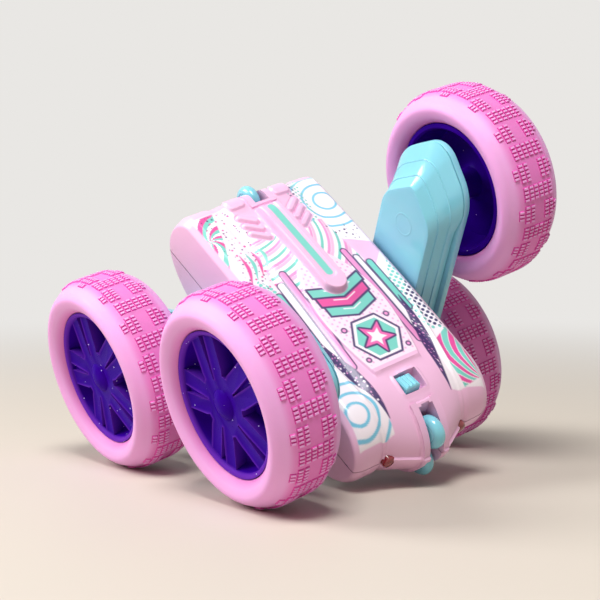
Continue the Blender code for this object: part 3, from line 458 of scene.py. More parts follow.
def panel_half(along):
    """Half width of the raised printed panel."""
    share = np.clip((along - PANEL_REAR) / PANEL_LENGTH, 0, 1)
    swell = np.sin(math.pi * np.minimum(1.0, share * 1.45)) ** 0.8
    return mix(mix(10.5, 4.8, share), 14.8, swell)


def box_distance(across, along, centre, half, radius):
    """Signed distance to a rounded rectangle, negative inside."""
    dx = np.abs(across - centre[0]) - (half[0] - radius)
    dy = np.abs(along - centre[1]) - (half[1] - radius)
    outside = np.hypot(np.maximum(dx, 0), np.maximum(dy, 0))
    return outside + np.minimum(np.maximum(dx, dy), 0) - radius


def line_distance(x, y, start, end):
    """Distance to a straight line from start to end, and the share of the way along it."""
    (ax, ay), (bx, by) = start, end
    ex, ey = bx - ax, by - ay
    share = np.clip(((x - ax) * ex + (y - ay) * ey) / (ex * ex + ey * ey), 0, 1)
    return np.hypot(x - ax - share * ex, y - ay - share * ey), share


def pill_distance(across, along, start, end, radius):
    return line_distance(across, along, start, end)[0] - radius


def spine_distance(x, y):
    """Signed distance to the bar along the middle: square at the front, round at the rear."""
    tip = np.hypot(x, np.minimum(y, 0)) - SPINE_HALF_WIDTH
    return np.maximum(tip, y - SPINE_FRONT)


def upper_relief(x, y, z):
    """Height of the mouldings on the upper deck."""
    inside = np.minimum(panel_half(y) - np.abs(x), y - PANEL_REAR)
    rise = PANEL_HEIGHT * smoothstep(-0.1, 0.9, inside) * smoothstep(46.0, 38.0, y)
    height = mix(2.9, 2.3, np.clip(y / 44.0, 0, 1))
    rise += height * smoothstep(0.15, -1.0, spine_distance(x, y))
    rise -= 0.6 * smoothstep(0.25, -0.2, pill_distance(x, y, *SPINE_GROOVE))
    for start, end in VENTS:
        gap = pill_distance(x, y, start, end, VENT_RADIUS)
        rise += 0.85 * smoothstep(0.1, -1.0, gap)
        rise -= 0.25 * smoothstep(0.7, 0.3, gap) * smoothstep(-0.1, 0.2, gap)
    rim = box_distance(x, y, *REAR_RIM)
    rise += RIM_HEIGHT * edged(rim, 0.25)
    rise -= 0.25 * smoothstep(0.9, 0.5, rim) * smoothstep(0.1, 0.4, rim)
    rise += RIM_HEIGHT * edged(box_distance(x, y, *UPPER_FRONT_RIM), 0.25)
    for sign in (-1, 1):
        pad = box_distance(x, y, (sign * FRONT_PAD[0], FRONT_PAD[1]), (3.6, 3.4), 1.6)
        rise += 1.0 * smoothstep(0.3, -0.6, pad)
    window = box_distance(x, y, *SWITCH_WINDOW)
    rise += 0.35 * smoothstep(1.6, 0.9, window)
    rise -= 4.2 * edged(window, 0.12)
    rise += 0.3 * edged(box_distance(x, y, *SWITCH_TAB), 0.2)
    ridge = np.abs(x) - np.interp(y, *RIDGE_LINE)
    rise += 0.45 * np.exp(-(ridge / 0.7) ** 2) * smoothstep(-8, -22, y) * smoothstep(-66, -60, y)
    lip = smoothstep(2.1, 1.5, z) * smoothstep(-59.5, -61.0, y) * smoothstep(19.2, 18.6, np.abs(x))
    rise += 1.1 * lip
    return rise


def lower_relief(x, y, z):
    """Height of the mouldings on the lower deck."""
    rise = RIM_HEIGHT * edged(box_distance(x, y, *REAR_RIM), 0.25)
    rise += RIM_HEIGHT * edged(box_distance(x, y, *LOWER_FRONT_RIM), 0.25)
    rise -= 1.6 * edged(box_distance(x, y, *BATTERY_DOOR), 0.1)
    for sign in (-1, 1):
        for along in WELL_PLACES:
            hole = np.hypot(x - sign * WELL_ACROSS, y - along) - WELL_RADIUS
            rise -= 5.0 * edged(hole, 0.15) * (z < -8)
            rise += 0.4 * smoothstep(1.4, 0.8, hole) * smoothstep(-0.2, 0.2, hole)
    for place in (4.0, 9.0, 14.0):
        rib = smoothstep(0.9, 0.4, np.abs(y - place))
        rise -= 0.5 * rib * smoothstep(15.0, 14.0, np.abs(x)) * (z < -15)
    return rise


# Print on the decks: fields, rings, dots, stripes and bands of the builder's own

DECK_EDGE = 29.6
PALE_PINK, WARM_PINK, MID_PINK = linear(250, 226, 240), linear(240, 176, 216), linear(238, 150, 204)
SPECK_PINK, STAR_PINK = linear(232, 150, 210), linear(236, 96, 170)


class Print:
    """Colours at the points of a deck, laid one over another."""

    def __init__(self, x, y, deck):
        self.x, self.y = x, y
        self.off_deck = np.where(deck & (np.abs(x) < DECK_EDGE), -1.0, 1.0)
        self.colour = np.tile(PINK, (len(x), 1))

    def lay(self, share, colour):
        share = np.clip(share, 0, 1)[:, None]
        self.colour = self.colour * (1 - share) + colour * share

    def fill(self, colour, *distances):
        """Colour where every distance is inside."""
        self.lay(edged(np.maximum.reduce(distances)), colour)

    def area(self, corners, inset=0.0):
        """Signed distance to a polygon on the deck."""
        return np.maximum(polygon_distance(self.x, self.y, corners) + inset, self.off_deck)


def polygon_distance(x, y, corners):
    """Signed distance to a simple polygon, negative inside."""
    best = np.full(len(x), 1e9)
    sign = np.ones(len(x))
    for (ax, ay), (bx, by) in zip(corners, corners[1:] + corners[:1]):
        best = np.minimum(best, line_distance(x, y, (ax, ay), (bx, by))[0])
        over = (ay <= y) & (by > y) | (by <= y) & (ay > y)
        with np.errstate(divide="ignore", invalid="ignore"):
            cross = ax + (y - ay) / (by - ay) * (bx - ax)
        sign = np.where(over & (x < cross), -sign, sign)
    return best * sign


def mirrored(corners, sign):
    return [(sign * across, along) for across, along in corners]


def star(centre, outer, inner, points, turn):
    made = []
    for i in range(2 * points):
        radius = outer if i % 2 == 0 else inner
        angle = turn + math.pi * i / points
        made.append((centre[0] + radius * math.cos(angle), centre[1] + radius * math.sin(angle)))
    return made


def rings(art, field, centre, pitch, width, limit, colour):
    distance = np.hypot(art.x - centre[0], art.y - centre[1])
    band = np.abs((distance + pitch / 2) % pitch - pitch / 2) - width / 2
    art.lay(edged(band) * edged(field) * (distance < limit) * (distance > pitch / 2), colour)


def dots(art, field, pitch, size, colour, turn=0.6):
    u = art.x * math.cos(turn) + art.y * math.sin(turn)
    v = art.y * math.cos(turn) - art.x * math.sin(turn)
    du = (u + pitch / 2) % pitch - pitch / 2
    dv = (v + pitch / 2) % pitch - pitch / 2
    art.lay(edged(np.hypot(du, dv) - size, 0.12) * (field < 0), colour)


def specks(art, field, pitch, size, colour, seed):
    """Dots of uneven size and place, in some of the cells of a grid."""
    cell_x, cell_y = np.floor(art.x / pitch), np.floor(art.y / pitch)
    hashed = np.sin(cell_x * 127.1 + cell_y * 311.7 + seed) * 43758.5453
    first = hashed - np.floor(hashed)
    second = (first * 57.31) % 1.0
    dx = art.x / pitch - cell_x - 0.25 - 0.5 * first
    dy = art.y / pitch - cell_y - 0.25 - 0.5 * second
    speck = edged(np.hypot(dx, dy) * pitch - size * (0.5 + first), 0.1)
    art.lay(speck * (field < 0) * (second > 0.45), colour)


def stripes(art, field, centre, count, twist, colours, line=None):
    """Curved rays about a centre, in turn in each colour."""
    dx, dy = art.x - centre[0], art.y - centre[1]
    radius = np.hypot(dx, dy)
    turn = np.arctan2(dy, dx) + twist * radius
    phase = (turn / (2 * math.pi) * count) % len(colours)
    for k, colour in enumerate(colours):
        art.lay(edged(field) * ((phase >= k) & (phase < k + 1)), colour)
    if line is not None:
        edge = np.abs((phase + 0.5) % 1.0 - 0.5) * 2 * math.pi / count * radius
        art.lay(edged(edge - 0.14, 0.1) * edged(field), line)


def rounded_path(points, widths, steps=7):
    """Points with widths on a smooth curve through the given ones."""
    knots = np.column_stack([points, widths])
    knots = np.vstack([2 * knots[0] - knots[1], knots, 2 * knots[-1] - knots[-2]])
    made = []
    for a, b, c, d in zip(knots, knots[1:], knots[2:], knots[3:]):
        for t in np.arange(steps) / steps:
            made.append(b + 0.5 * t * (c - a + t * (2 * a - 5 * b + 4 * c - d + t * (3 * (b - c) + d - a))))
    return np.array(made + [knots[-2]])


def stroke(art, points, widths, colour):
    """Tapered brush stroke along a smooth curve."""
    best = np.full(len(art.x), 1e9)
    path = rounded_path(points, widths)
    for (ax, ay, wa), (bx, by, wb) in zip(path, path[1:]):
        gap, share = line_distance(art.x, art.y, (ax, ay), (bx, by))
        best = np.minimum(best, gap - mix(wa, wb, share))
    art.fill(colour, best)
    return best


def side_print(art):
    """White fields with rings, curved stripes, dots and specks beside the middle."""
    left = art.area([(-29.5, -60.5), (-14.5, -60.5), (-15.2, -44), (-18.5, -30), (-29.5, -16)])
    right = art.area([(29.5, -59), (15, -56), (15.6, -44), (18, -26), (20.5, 0), (29.5, 8)])
    front_right = art.area([(29.5, 52), (15, 52), (12, 30), (19, 18), (29.5, 12)])
    front_left = [(-29.5, 50), (-14, 50), (-13, 30), (-17, 8), (-29.5, 0)]
    for field in (left, right, front_right):
        art.fill(WHITE, field)
    art.lay(edged(art.area(front_left)) * 0.75, WHITE)
    rings(art, left, (-25.5, -50.5), 4.2, 1.15, 13.5, SKY)
    rings(art, front_right, (24.5, 38), 4.6, 1, 15, SKY)
    fan = art.area([(30, -56), (20.5, -57), (19.6, -48), (22, -36.5), (30, -33)])
    stripes(art, fan, (31, -57), 34, 0.05, (MAGENTA, MINT), WHITE)
    corner = art.area([(-29.5, 49.5), (-21, 49.5), (-24.5, 36), (-29.5, 24)])
    stripes(art, corner, (-29, 38), 22, 0.08, (MINT, MAGENTA, WHITE))
    behind = art.area([(-17, 30), (17, 30), (20, 6), (13, -6), (-13, -6), (-20, 6)])
    art.fill(BLUSH, behind)
    stripes(art, behind, (0, 46), 84, 0.045, (MINT, WHITE, MID_PINK, BLUSH, WHITE), WHITE)
    for corners, pitch, size, colour, turn in (
            ([(29, -34), (22, -32), (21.5, -8), (29, 4)], 2, 0.72, MINT, 0.6),
            ([(29, -33), (24, -31), (24.5, -14), (29, -8)], 2, 0.68, NAVY, 0.6),
            ([(12, 53), (20, 53), (16, 30), (11, 30)], 1.7, 0.5, MINT, 0.3),
            ([(13, 53), (17, 53), (15, 44), (12, 44)], 1.7, 0.5, NAVY, 0.3)):
        dots(art, art.area(corners), pitch, size, colour, turn)
    wedge = art.area([(29, 22), (14, 30), (19, 19), (29, 13)])
    specks(art, wedge, 1.9, 0.34, NAVY, 1)
    specks(art, art.area(front_left, 1), 2, 0.28, NAVY, 4)
    specks(art, art.area(front_left, 1), 2.6, 0.34, MAGENTA, 9)
    for k in range(4):
        path = [(-27.0 + 3.2 * k, 13.0 + 1.2 * k), (-24.0 + 3.0 * k, 20.0 + k), (-23.5 + 2.6 * k, 27)]
        stroke(art, path, [0.15, 0.75, 0.15], (MAGENTA, MINT)[k % 2])
    diamond = art.area([(-29, 10), (-24, 14), (-20, 6), (-25.5, 2)])
    dots(art, diamond, 1.8, 0.75, MINT, 0.2)


def band_print(art):
    """Straight bands beside the middle, and a dark stripe with specks."""
    for sign in (-1, 1):
        for k, colour in enumerate((MID_PINK, WHITE, MINT)):
            path = mirrored([(14.4 + 3.4 * k, 12.0 - 4.0 * k), (15.6 + 3.0 * k, -34.0 + 7.0 * k)], sign)
            stroke(art, path, [1.7, 1.7], NAVY)
            stroke(art, path, [1.15, 1.15], colour)
        path = [(21.3, -14), (20.2, -24), (17.6, -36), (15.2, -47), (14.4, -56)]
        dark = stroke(art, mirrored(path, sign), [0.2, 1.4, 2.4, 1.2, 0.15], NAVY)
        specks(art, dark + 0.25, 1.5, 0.26, SPECK_PINK, 3.0 + sign)
        specks(art, dark + 0.25, 2.1, 0.34, WHITE, 7.0 + sign)


def panel_print(art):
    """Chevrons, and a star on a six-sided badge, on the raised panel."""
    x, y = art.x, art.y
    panel = np.maximum(np.maximum(np.abs(x) - panel_half(y) + 0.6, -38.4 - y), y - 13)
    art.fill(PALE_PINK, panel)
    dots(art, panel + 1, 2.1, 0.45, WARM_PINK)
    for k, colour in enumerate((MINT, MAGENTA, MINT)):
        bend = -5.0 - 4.6 * k + 0.34 * np.abs(x)
        band = np.maximum(np.abs(y - bend) - 1.85, np.abs(x) - (11.4 - 0.8 * k))
        art.fill(NAVY, band - 0.95, panel)
        art.fill(colour, band, panel)
        art.fill(WHITE, np.abs(y - bend - 0.95) - 0.22, np.abs(x) - 6.0 + k, panel)
    middle = (0, -27.4)
    badge = polygon_distance(x, y, star(middle, 9.9, 9.9, 3, 0))
    figure = polygon_distance(x, y, star(middle, 7, 3.1, 5, -math.pi / 2))
    for shape, grow, colour in ((badge, 0.9, NAVY), (badge, 0, WHITE), (badge, -1.1, MINT),
                                (figure, 0.8, NAVY), (figure, 0, STAR_PINK), (figure, -1.1, WHITE)):
        art.fill(colour, shape - grow, panel)
    for sign in (1, -1):
        for across, along, size in ((9.8, -20.2, 0.7), (9.2, -34.8, 0.6)):
            dot = np.hypot(x - sign * across, y - along) - size
            art.fill(NAVY, dot - 0.6, panel)
            art.fill(MID_PINK, dot, panel)


def upper_print(x, y, z):
    art = Print(x, y, z > 8)
    side_print(art)
    band_print(art)
    panel_print(art)
    # Crest stripe of the spine, and bare mouldings
    art.fill(PINK, spine_distance(x, y) - 0.3)
    art.fill(MINT, pill_distance(x, y, (0, 3.6), (0, 41), 1.5))
    for start, end in VENTS:
        art.fill(PINK, pill_distance(x, y, start, end, 2.2))
    art.fill(PINK, box_distance(x, y, (0, 60), (14.8, 13.6), 2))
    art.fill(PINK, box_distance(x, y, (0, -70), (13.6, 28.4), 4))
    return art.colour


def lower_print(x, y, z):
    art = Print(x, y, z < -9)
    for sign in (-1, 1):
        field = art.area(mirrored([(29.5, -54), (21, -54), (21, 6), (29.5, 14)], sign))
        art.fill(WHITE, field)
        rings(art, field, (sign * 28, -38), 4.2, 1.1, 14, SKY)
        patch = art.area(mirrored([(29, -14), (22, -12), (22, 2), (29, 8)], sign))
        dots(art, patch, 1.8, 0.55, MINT)
        path = mirrored([(21.5, 12), (20.6, -10), (20.6, -40), (19.6, -52)], sign)
        dark = stroke(art, path, [0.2, 0.9, 1.2, 0.2], NAVY)
        specks(art, dark + 0.2, 1.6, 0.26, WHITE, 5)
    return art.colour


# Body pieces

COLUMN_STEP = 0.25
SLOT_REACH, CHEEK_REACH, WALL_REACH, WALL_THICKNESS = 7.0, 9.0, 7.4, 1.2
SEAM_BASE = 0.3
CORE_HALF_WIDTH, CORE_HALF_HEIGHT = 30.6, 1.0
UPRIGHT = Matrix(((0, 1, 0, 0), (0, 0, 1, 0), (1, 0, 0, 0), (0, 0, 0, 1)))


def rollers_of(side):
    return {key: spot for key, spot in ROLLERS.items() if ("upper" in key) == (side > 0)}


def body_shell(name, side, relief, painted, replaced):
    """One half of the body as a dense sheet with its mouldings and print, closed by flat flanks."""
    edges = (SLOT, SLOT + 0.05, HALF_WIDTH - 0.15)
    lines = np.arange(-HALF_WIDTH, HALF_WIDTH + 0.01, COLUMN_STEP)
    lines = np.concatenate([lines, edges, np.negative(edges)])
    lines = np.unique(np.round(lines, 3))
    rows = [section(x, side) for x in lines]
    count = len(rows[0])
    x = np.repeat(lines, count)
    y, z = np.concatenate(rows).T
    tangent = np.concatenate([np.gradient(row, axis=0) for row in rows])
    tangent /= np.linalg.norm(tangent, axis=1)[:, None]
    rise = side * relief(x, y, z)
    up = z + rise * tangent[:, 0]
    up = np.where(side * up < SEAM, side * SEAM, up)
    verts = np.stack([x, y - rise * tangent[:, 1], up], 1)
    slot = np.abs(x[:-count] + x[count:]) / 2 < SLOT
    slot &= np.any([np.sign(spot) * (y - spot) > -SLOT_REACH for spot, _ in rollers_of(side).values()],
                   axis=0)[:-count]
    faces = [quad[::-side] for quad in grid_faces(len(lines), count) if not slot[quad[0]]]
    flank = tuple(range(count))
    faces += [flank[::side], tuple(len(x) - count + i for i in flank)[::-side]]
    mesh = plain_mesh(name, verts.tolist(), faces)
    mesh.update()
    made = finish_object(name, mesh, BODY, "shell", "chassis", replaced, 42)
    attribute = made.data.color_attributes.new("print", "FLOAT_COLOR", "POINT")
    colours = np.concatenate([painted(x, y, z), np.ones((len(x), 1))], 1)
    attribute.data.foreach_set("color", colours.ravel())


def section_height(along, side):
    points = section(0.0, side, 0.0)
    inner = points[np.abs(points[:, 1]) > 4]
    return float(np.interp(along, inner[:, 0], inner[:, 1]))


def slot_cheeks(side):
    """Plates and back wall that close each roller slot."""
    base = side * SEAM_BASE
    for key, (along, _) in rollers_of(side).items():
        limit = along - math.copysign(CHEEK_REACH, along)
        kept = [(y, z) for y, z in section(0.0, side, EAR_RISE, (18, 60, 12, 20))
                if (y < limit) == (along < 0) and side * z > SEAM_BASE]
        closed = [(kept[0][0], base)] + kept + [(kept[-1][0], base)]
        for name, sign in SIDES:
            low, high = sorted((sign * SLOT, sign * (SLOT + EAR)))
            mesh = prism(f"{key}_cheek", closed, low, high)
            finish_object(f"{key}_cheek_{name}", mesh, BODY, "pink", "chassis")
        wall = along - math.copysign(WALL_REACH, along)
        behind = wall - math.copysign(WALL_THICKNESS, along)
        top = section_height(wall, side) + base
        back = [(wall, base), (wall, top), (behind, top), (behind, base)]
        mesh = prism(f"{key}_back", back, -SLOT - 0.2, SLOT + 0.2)
        finish_object(f"{key}_slot_back", mesh, BODY, "pink", "chassis")


def seam_shade_band():
    """Dark band of painted shade inside the seam, so that the gap reads as a line."""
    places = np.linspace(-CORE_HALF_WIDTH, CORE_HALF_WIDTH, 40)
    cuts = [section(x, 1, -1.0, (6, 8, 6, 6)) for x in places]
    outline = [(x, cut[0][0]) for x, cut in zip(places, cuts)]
    outline += [(x, cut[-1][0]) for x, cut in zip(places[::-1], cuts[::-1])]
    for name, sign in SIDES:
        points = [(x, y) for x, y in outline if sign * x > SLOT + 1.0]
        mesh = prism(f"seam_{name}", points, -CORE_HALF_HEIGHT, CORE_HALF_HEIGHT)
        mesh.transform(UPRIGHT)
        finish_object(f"seam_shade_band_{name}", mesh, BODY, "dark", "chassis")


ROLLER_HALF = 2.5
ROLLER_SIDE = [(1.3, ROLLER_HALF), (3.2, ROLLER_HALF), (3.5, 2.2)]
ROLLER_CROWN = ((3.9, 0.0), (2.4, ROLLER_HALF))
LENS_ACROSS, LENS_PROUD = 16.8, 1.6
LENS_PROFILE = [(0.0, 0.45), (1.0, 0.38), (1.9, 0.1), (2.45, -0.4), (2.6, -1.0), (2.6, -5.0), (0.0, -5.0)]
KNOB_HALF = (3.2, 3.3)
KNOB_COUNT = 33
KNOB_DEPTH = 5.0
KNOB_RIB, KNOB_RIB_PITCH = 0.22, 0.82
KNOB_ACROSS, KNOB_PROUD, KNOB_TILT = -1.3, 0.5, math.radians(-9)


def rollers():
    profile = ROLLER_SIDE + list(arc(*ROLLER_CROWN, 90, -90, 13))
    profile += [(radius, -place) for radius, place in reversed(ROLLER_SIDE)]
    for key, (along, up) in ROLLERS.items():
        mesh = turned(f"{key}_wheel", profile, 48, True)
        place = BODY @ Matrix.Translation((0, along * MM, up * MM))
        finish_object(f"{key}_roller_smooth", mesh, place, "mint", f"{key}_roller", (f"{key}_roller",))


def lenses():
    face = float(np.interp(LENS_ACROSS, STATIONS[:, 0], STATIONS[:, 1])) + LENS_PROUD
    for name, sign in SIDES:
        mesh = turned(f"{name}_lens", LENS_PROFILE, 32)
        place = BODY @ Matrix.Translation((sign * LENS_ACROSS * MM, -face * MM, 0))
        place = place @ Matrix.Rotation(-math.pi / 2, 4, "Z")
        finish_object(f"{name}_tail_lamp", mesh, place, "lens", "chassis", (f"{name}_tail_lens",))


def switch():
    """Knob with ribs along the car, at the left end of its window."""
    verts = []
    for x in np.linspace(-KNOB_HALF[0], KNOB_HALF[0], KNOB_COUNT):
        for y in np.linspace(-KNOB_HALF[1], KNOB_HALF[1], KNOB_COUNT):
            edge = min(KNOB_HALF[0] - abs(x), KNOB_HALF[1] - abs(y))
            rib = KNOB_RIB * math.cos(x / KNOB_RIB_PITCH * math.pi) if edge > 0.55 else -0.1
            verts.append((x, y, rib + 0.5 * min(1.0, edge / 0.45)))
    mesh = plain_mesh("switch_knob", verts, grid_faces(KNOB_COUNT, KNOB_COUNT))
    shape = opened(mesh)
    border = [edge for edge in shape.edges if edge.is_boundary]
    grown = bmesh.ops.extrude_edge_only(shape, edges=border)
    for item in grown["geom"]:
        if isinstance(item, bmesh.types.BMVert):
            item.co.z = -KNOB_DEPTH
    closed_into(mesh, shape)
    top = section_height(SWITCH_PLACE, 1) + KNOB_PROUD
    place = BODY @ Matrix.Translation((KNOB_ACROSS * MM, SWITCH_PLACE * MM, top * MM))
    place = place @ Matrix.Rotation(KNOB_TILT, 4, "X")
    finish_object("switch_knob", mesh, place, "mint", "switch", ("switch_slider",))


# Arms

ARM_INNER_FACE, ARM_SPLIT, ARM_OUTER_FACE = 32.8, 43.0, 46.2
ARM_REACH = 45.0
MODULE = 2 * ARM_REACH / 52
ARM_SIZES = (
    # half width, end, round of the tip and of the shoulders, each at the inner face and at the split
    (7.85 * MODULE, 10.65 * MODULE), (ARM_REACH + 4.8 * MODULE, ARM_REACH + 13.9 * MODULE),
    (2.0 * MODULE, 5.6 * MODULE), (6.4 * MODULE, 9.8 * MODULE))
ARM_POINT = math.radians(49)
ARM_FLARE = 1.3
ARM_WAIST = 2.0
ARM_GAP = 0.3
TERRACES = 3
TERRACE_STEP = 0.6
SLEEVE = [(0.0, 27.6), (7.8, 27.6), (7.8, 29.0), (6.2, 29.1), (6.2, ARM_INNER_FACE + 0.4),
          (0.0, ARM_INNER_FACE + 0.4)]
BOSS = [(3.8, 0.05), (4.0, -0.06), (4.3, -0.09), (4.6, -0.06), (4.8, 0.05)]
BOSS_PLACE = 36.0


def arm_ring(place, level, shrink=0.0, waist=0.0):
    """Outline at a place on X: straight sides, round shoulders, slants and a round tip at each end."""
    share = ((level - ARM_INNER_FACE) / (ARM_SPLIT - ARM_INNER_FACE)) ** ARM_FLARE
    half, end, tip_round, shoulder_round = (mix(*pair, share) - shrink for pair in ARM_SIZES)
    slant = math.pi / 2 - ARM_POINT
    tip, inset = end - tip_round, half - shoulder_round
    shoulder = tip + (tip_round - shoulder_round - inset * math.sin(slant)) / math.cos(slant)
    turn = math.degrees(slant)
    quarter = [*arc((tip, 0), (tip_round, tip_round), 0, turn, 9),
               *arc((shoulder, inset), (shoulder_round, shoulder_round), turn, 90, 9)]
    quarter += [(shoulder * rest, half) for rest in np.linspace(0.92, 0.0, 12)]
    quarter = [(y, z - waist * float(smoothstep(49.0, 38.0, y))) for y, z in quarter]
    outline = quarter + [(-y, z) for y, z in reversed(quarter[:-1])]
    outline += [(-y, -z) for y, z in quarter[1:]] + [(y, -z) for y, z in reversed(quarter[1:-1])]
    return [(place, y, z) for y, z in outline]


def arm(side):
    """Housing with slanted flanks in steps, a plate behind it, and the sleeve that carries both."""
    name = f"{side}_arm"
    inner, split, outer = ARM_INNER_FACE, ARM_SPLIT, ARM_OUTER_FACE
    # Rings, each as (place, level of its outline, shrink, waist)
    housing = [(inner, inner, 2.0), (inner, inner, 0.5), (inner + 0.08, inner, 0.2), (inner + 0.35, inner)]
    for level in np.linspace(inner, split, TERRACES + 1)[1:-1]:
        housing += [(level - 0.02, level, TERRACE_STEP), (level, level, TERRACE_STEP - 0.06),
                    (level, level, 0.14), (level + 0.1, level, 0.03), (level + 0.35, level)]
    housing += [(split - 0.2, split, 0.0, ARM_WAIST), (split, split, 0.15, ARM_WAIST), (split, split, 4.0)]
    back = split + ARM_GAP
    plate = [(back, split, 4.0), (back, split, 0.4), (back + 0.1, split, 0.12), (back + 0.4, split),
             (outer - 0.7, split), (outer - 0.2, split, 0.2), (outer, split, 0.7), (outer, split, 4.0)]
    for piece, rows, replaced in (("shell", housing, "housing"), ("plate", plate, "cover")):
        mesh = loft(f"{name}_{piece}", [arm_ring(*row) for row in rows])
        finish_object(f"{name}_{piece}", mesh, ARMS[side], "mint", name, (f"{name}_{replaced}",), 30)
    finish_object(f"{name}_sleeve", turned(f"{name}_sleeve", SLEEVE, 40), ARMS[side], "mint", name)
    for end, sign in (("a", 1), ("b", -1)):
        place = ARMS[side] @ Matrix.Translation((inner * MM, sign * BOSS_PLACE * MM, 0))
        finish_object(f"{name}_boss_{end}", turned(f"{name}_boss", BOSS, 40), place, "mint", name)


# Wheels

TYRE_RADIUS, TREAD_HALF, SHOULDER, RIM = 37.88, 4.1, 10.6, 25.8
RIM_FACE = 10.2
BEAD = RIM + 0.3
SIDEWALL = [(0.0, -2.6), (0.0, -0.4), (0.15, 0.0), (1.2, 1.35), (2.5, 2.35), (3.8, 3.0), (4.9, 3.35)]
TREAD_HEIGHT = 0.6
TREAD_RADIUS = TYRE_RADIUS - TREAD_HEIGHT
REPEATS = 15
REPEAT = 360.0 / REPEATS
COLUMN = 2.33
ROW = math.degrees(1.45 / TYRE_RADIUS)
# Groups of raised dashes in one repeat, each as (columns from the middle, angle in degrees, rows)
TREAD_GROUPS = (((-2.5, -1.5, -0.5, 0.5, 1.5, 2.5), 0.0, 4), ((-1.5, -2.5), REPEAT / 2, 5),
                ((-3.5,), REPEAT / 2, 3), ((1.5, 2.5), REPEAT / 2, 5), ((3.5,), REPEAT / 2, 3))
DASH = (0.80, 0.40)
# Rings of a dash, each as (lift, spread, share of painted shade)
DASH_RINGS = ((-0.05, 0.26, 0.95), (0.45 * TREAD_HEIGHT, 0.05, 0.85), (TREAD_HEIGHT, -0.08, 0.0))


def tread_frame(across, angle):
    """Spot and directions (across, along, outwards) on the tyre's surface."""
    turn = math.radians(angle)
    over = math.copysign(max(0.0, abs(across) - TREAD_HALF), across)
    tilt = math.asin(over / SHOULDER)
    radius = TREAD_RADIUS - SHOULDER + math.sqrt(SHOULDER ** 2 - over ** 2)
    radial = Vector((0.0, math.cos(turn), math.sin(turn)))
    out = Vector((math.sin(tilt), 0, 0)) + radial * math.cos(tilt)
    side = Vector((math.cos(tilt), 0, 0)) - radial * math.sin(tilt)
    along = Vector((0.0, -math.sin(turn), math.cos(turn)))
    return Vector((across, 0, 0)) + radial * radius, side, along, out


def dash_into(shape, deep, spot, side, along, out):
    """Raised dash with sloping walls, with painted shade at its foot and none on top."""
    previous = None
    for lift, spread, shade in DASH_RINGS:
        ring = []
        for sx, st in ((-1, -1), (1, -1), (1, 1), (-1, 1)):
            corner = side * (sx * (DASH[0] + spread)) + along * (st * (DASH[1] + spread))
            vert = shape.verts.new(spot + out * lift + corner)
            vert[deep] = shade
            ring.append(vert)
        for i in range(4 if previous else 0):
            j = (i + 1) % 4
            shape.faces.new((previous[i], previous[j], ring[j], ring[i]))
        previous = ring
    shape.faces.new(previous)


def tyre_mesh():
    """Balloon tyre: sidewalls that slope out from the rim to a crest, round shoulders and the rolling face
    with raised dashes; shade is painted on the outer shoulders and rolling face, at the dashes' feet and on
    the slope by the rim.
    """
    half = [(BEAD + out, RIM_FACE + aside) for out, aside in SIDEWALL]
    for angle in range(26, 91, 4):
        turn = math.radians(angle)
        sink = TREAD_HEIGHT * float(smoothstep(34, 55, angle))
        radius = TYRE_RADIUS - SHOULDER + SHOULDER * math.sin(turn) - sink
        half.append((radius, TREAD_HALF + SHOULDER * math.cos(turn)))
    half += [(TREAD_RADIUS, 2.8), (TREAD_RADIUS, 1.4)]
    profile = half + [(TREAD_RADIUS, 0.0)] + [(radius, -place) for radius, place in reversed(half)]
    mesh = turned("tyre_body", profile, 144, True)
    shape = opened(mesh)
    deep = shape.verts.layers.float.new("painted_shade")
    # Painted shade: on the outer shoulders and tread, and on the slope by the rim
    for vert in shape.verts:
        radius = math.hypot(vert.co.y, vert.co.z)
        painted_shade, bead_shade = smoothstep(35.4, 37.2, radius), smoothstep(28.6, BEAD, radius)
        vert[deep] = max(0.5 * float(painted_shade), 0.45 * float(bead_shade))
    for repeat in range(REPEATS):
        for columns, angle, rows in TREAD_GROUPS:
            for column in columns:
                for row in range(rows):
                    turn = REPEAT * repeat + angle + (row - (rows - 1) / 2) * ROW
                    dash_into(shape, deep, *tread_frame(column * COLUMN, turn))
    return closed_into(mesh, shape)


HUB_WEB, HUB_FACE, HUB_FALL = 4.6, 9.8, 0.05
HUB_VALLEY = 9.6
HUB_BACK = 2.8
HUB_DISH = [(0.0, HUB_WEB), (22.2, HUB_WEB), (22.9, 5.2), (23.9, 8.6), (24.1, 9.3), (24.6, 9.95),
            (25.2, 10.15), (RIM, 10.15), (RIM, -10.15), (25.3, -10.3), (24.2, -10.3), (23.5, -9.6),
            (22.9, -1.0), (21.8, HUB_BACK), (8.0, HUB_BACK), (6.0, 1.5), (5.5, -7.6), (5.1, -8.0),
            (2.8, -8.0), (2.8, -7.0), (0.0, -7.0)]
HUB_CAP = [(0.0, 11.3), (1.9, 11.2), (3.0, 10.85), (4.2, 10.3), (5.4, HUB_FACE - 0.2), (5.8, HUB_FACE - 0.8)]
SPOKES = 5
SPOKE_START = 28.0
SPOKE_EDGE = [(HUB_VALLEY, 5.7), (11.5, 6.35), (23.2, 7.2)]
SPOKE_GROOVE = [(24.2, 1.5), (13.6, 0.6), (9.0, 0.3)]
RIDGE, RIDGE_DROP, GROOVE_DEPTH = 0.9, 0.35, 1.3
LIP_RADIUS, LIP_PLACE, CAP_RADIUS = 24.4, 9.0, 6.0
# Shares of the painted highlight on the lip and on the spokes' ridges
LIP_HIGHLIGHT, RIDGE_HIGHLIGHT = 1.0, 0.7
LEFT_FRONT_TURN = math.radians(3)


def hub_fall(radius):
    """How far the spokes' face has dropped at a radius."""
    return HUB_FALL * max(0.0, radius - HUB_VALLEY)


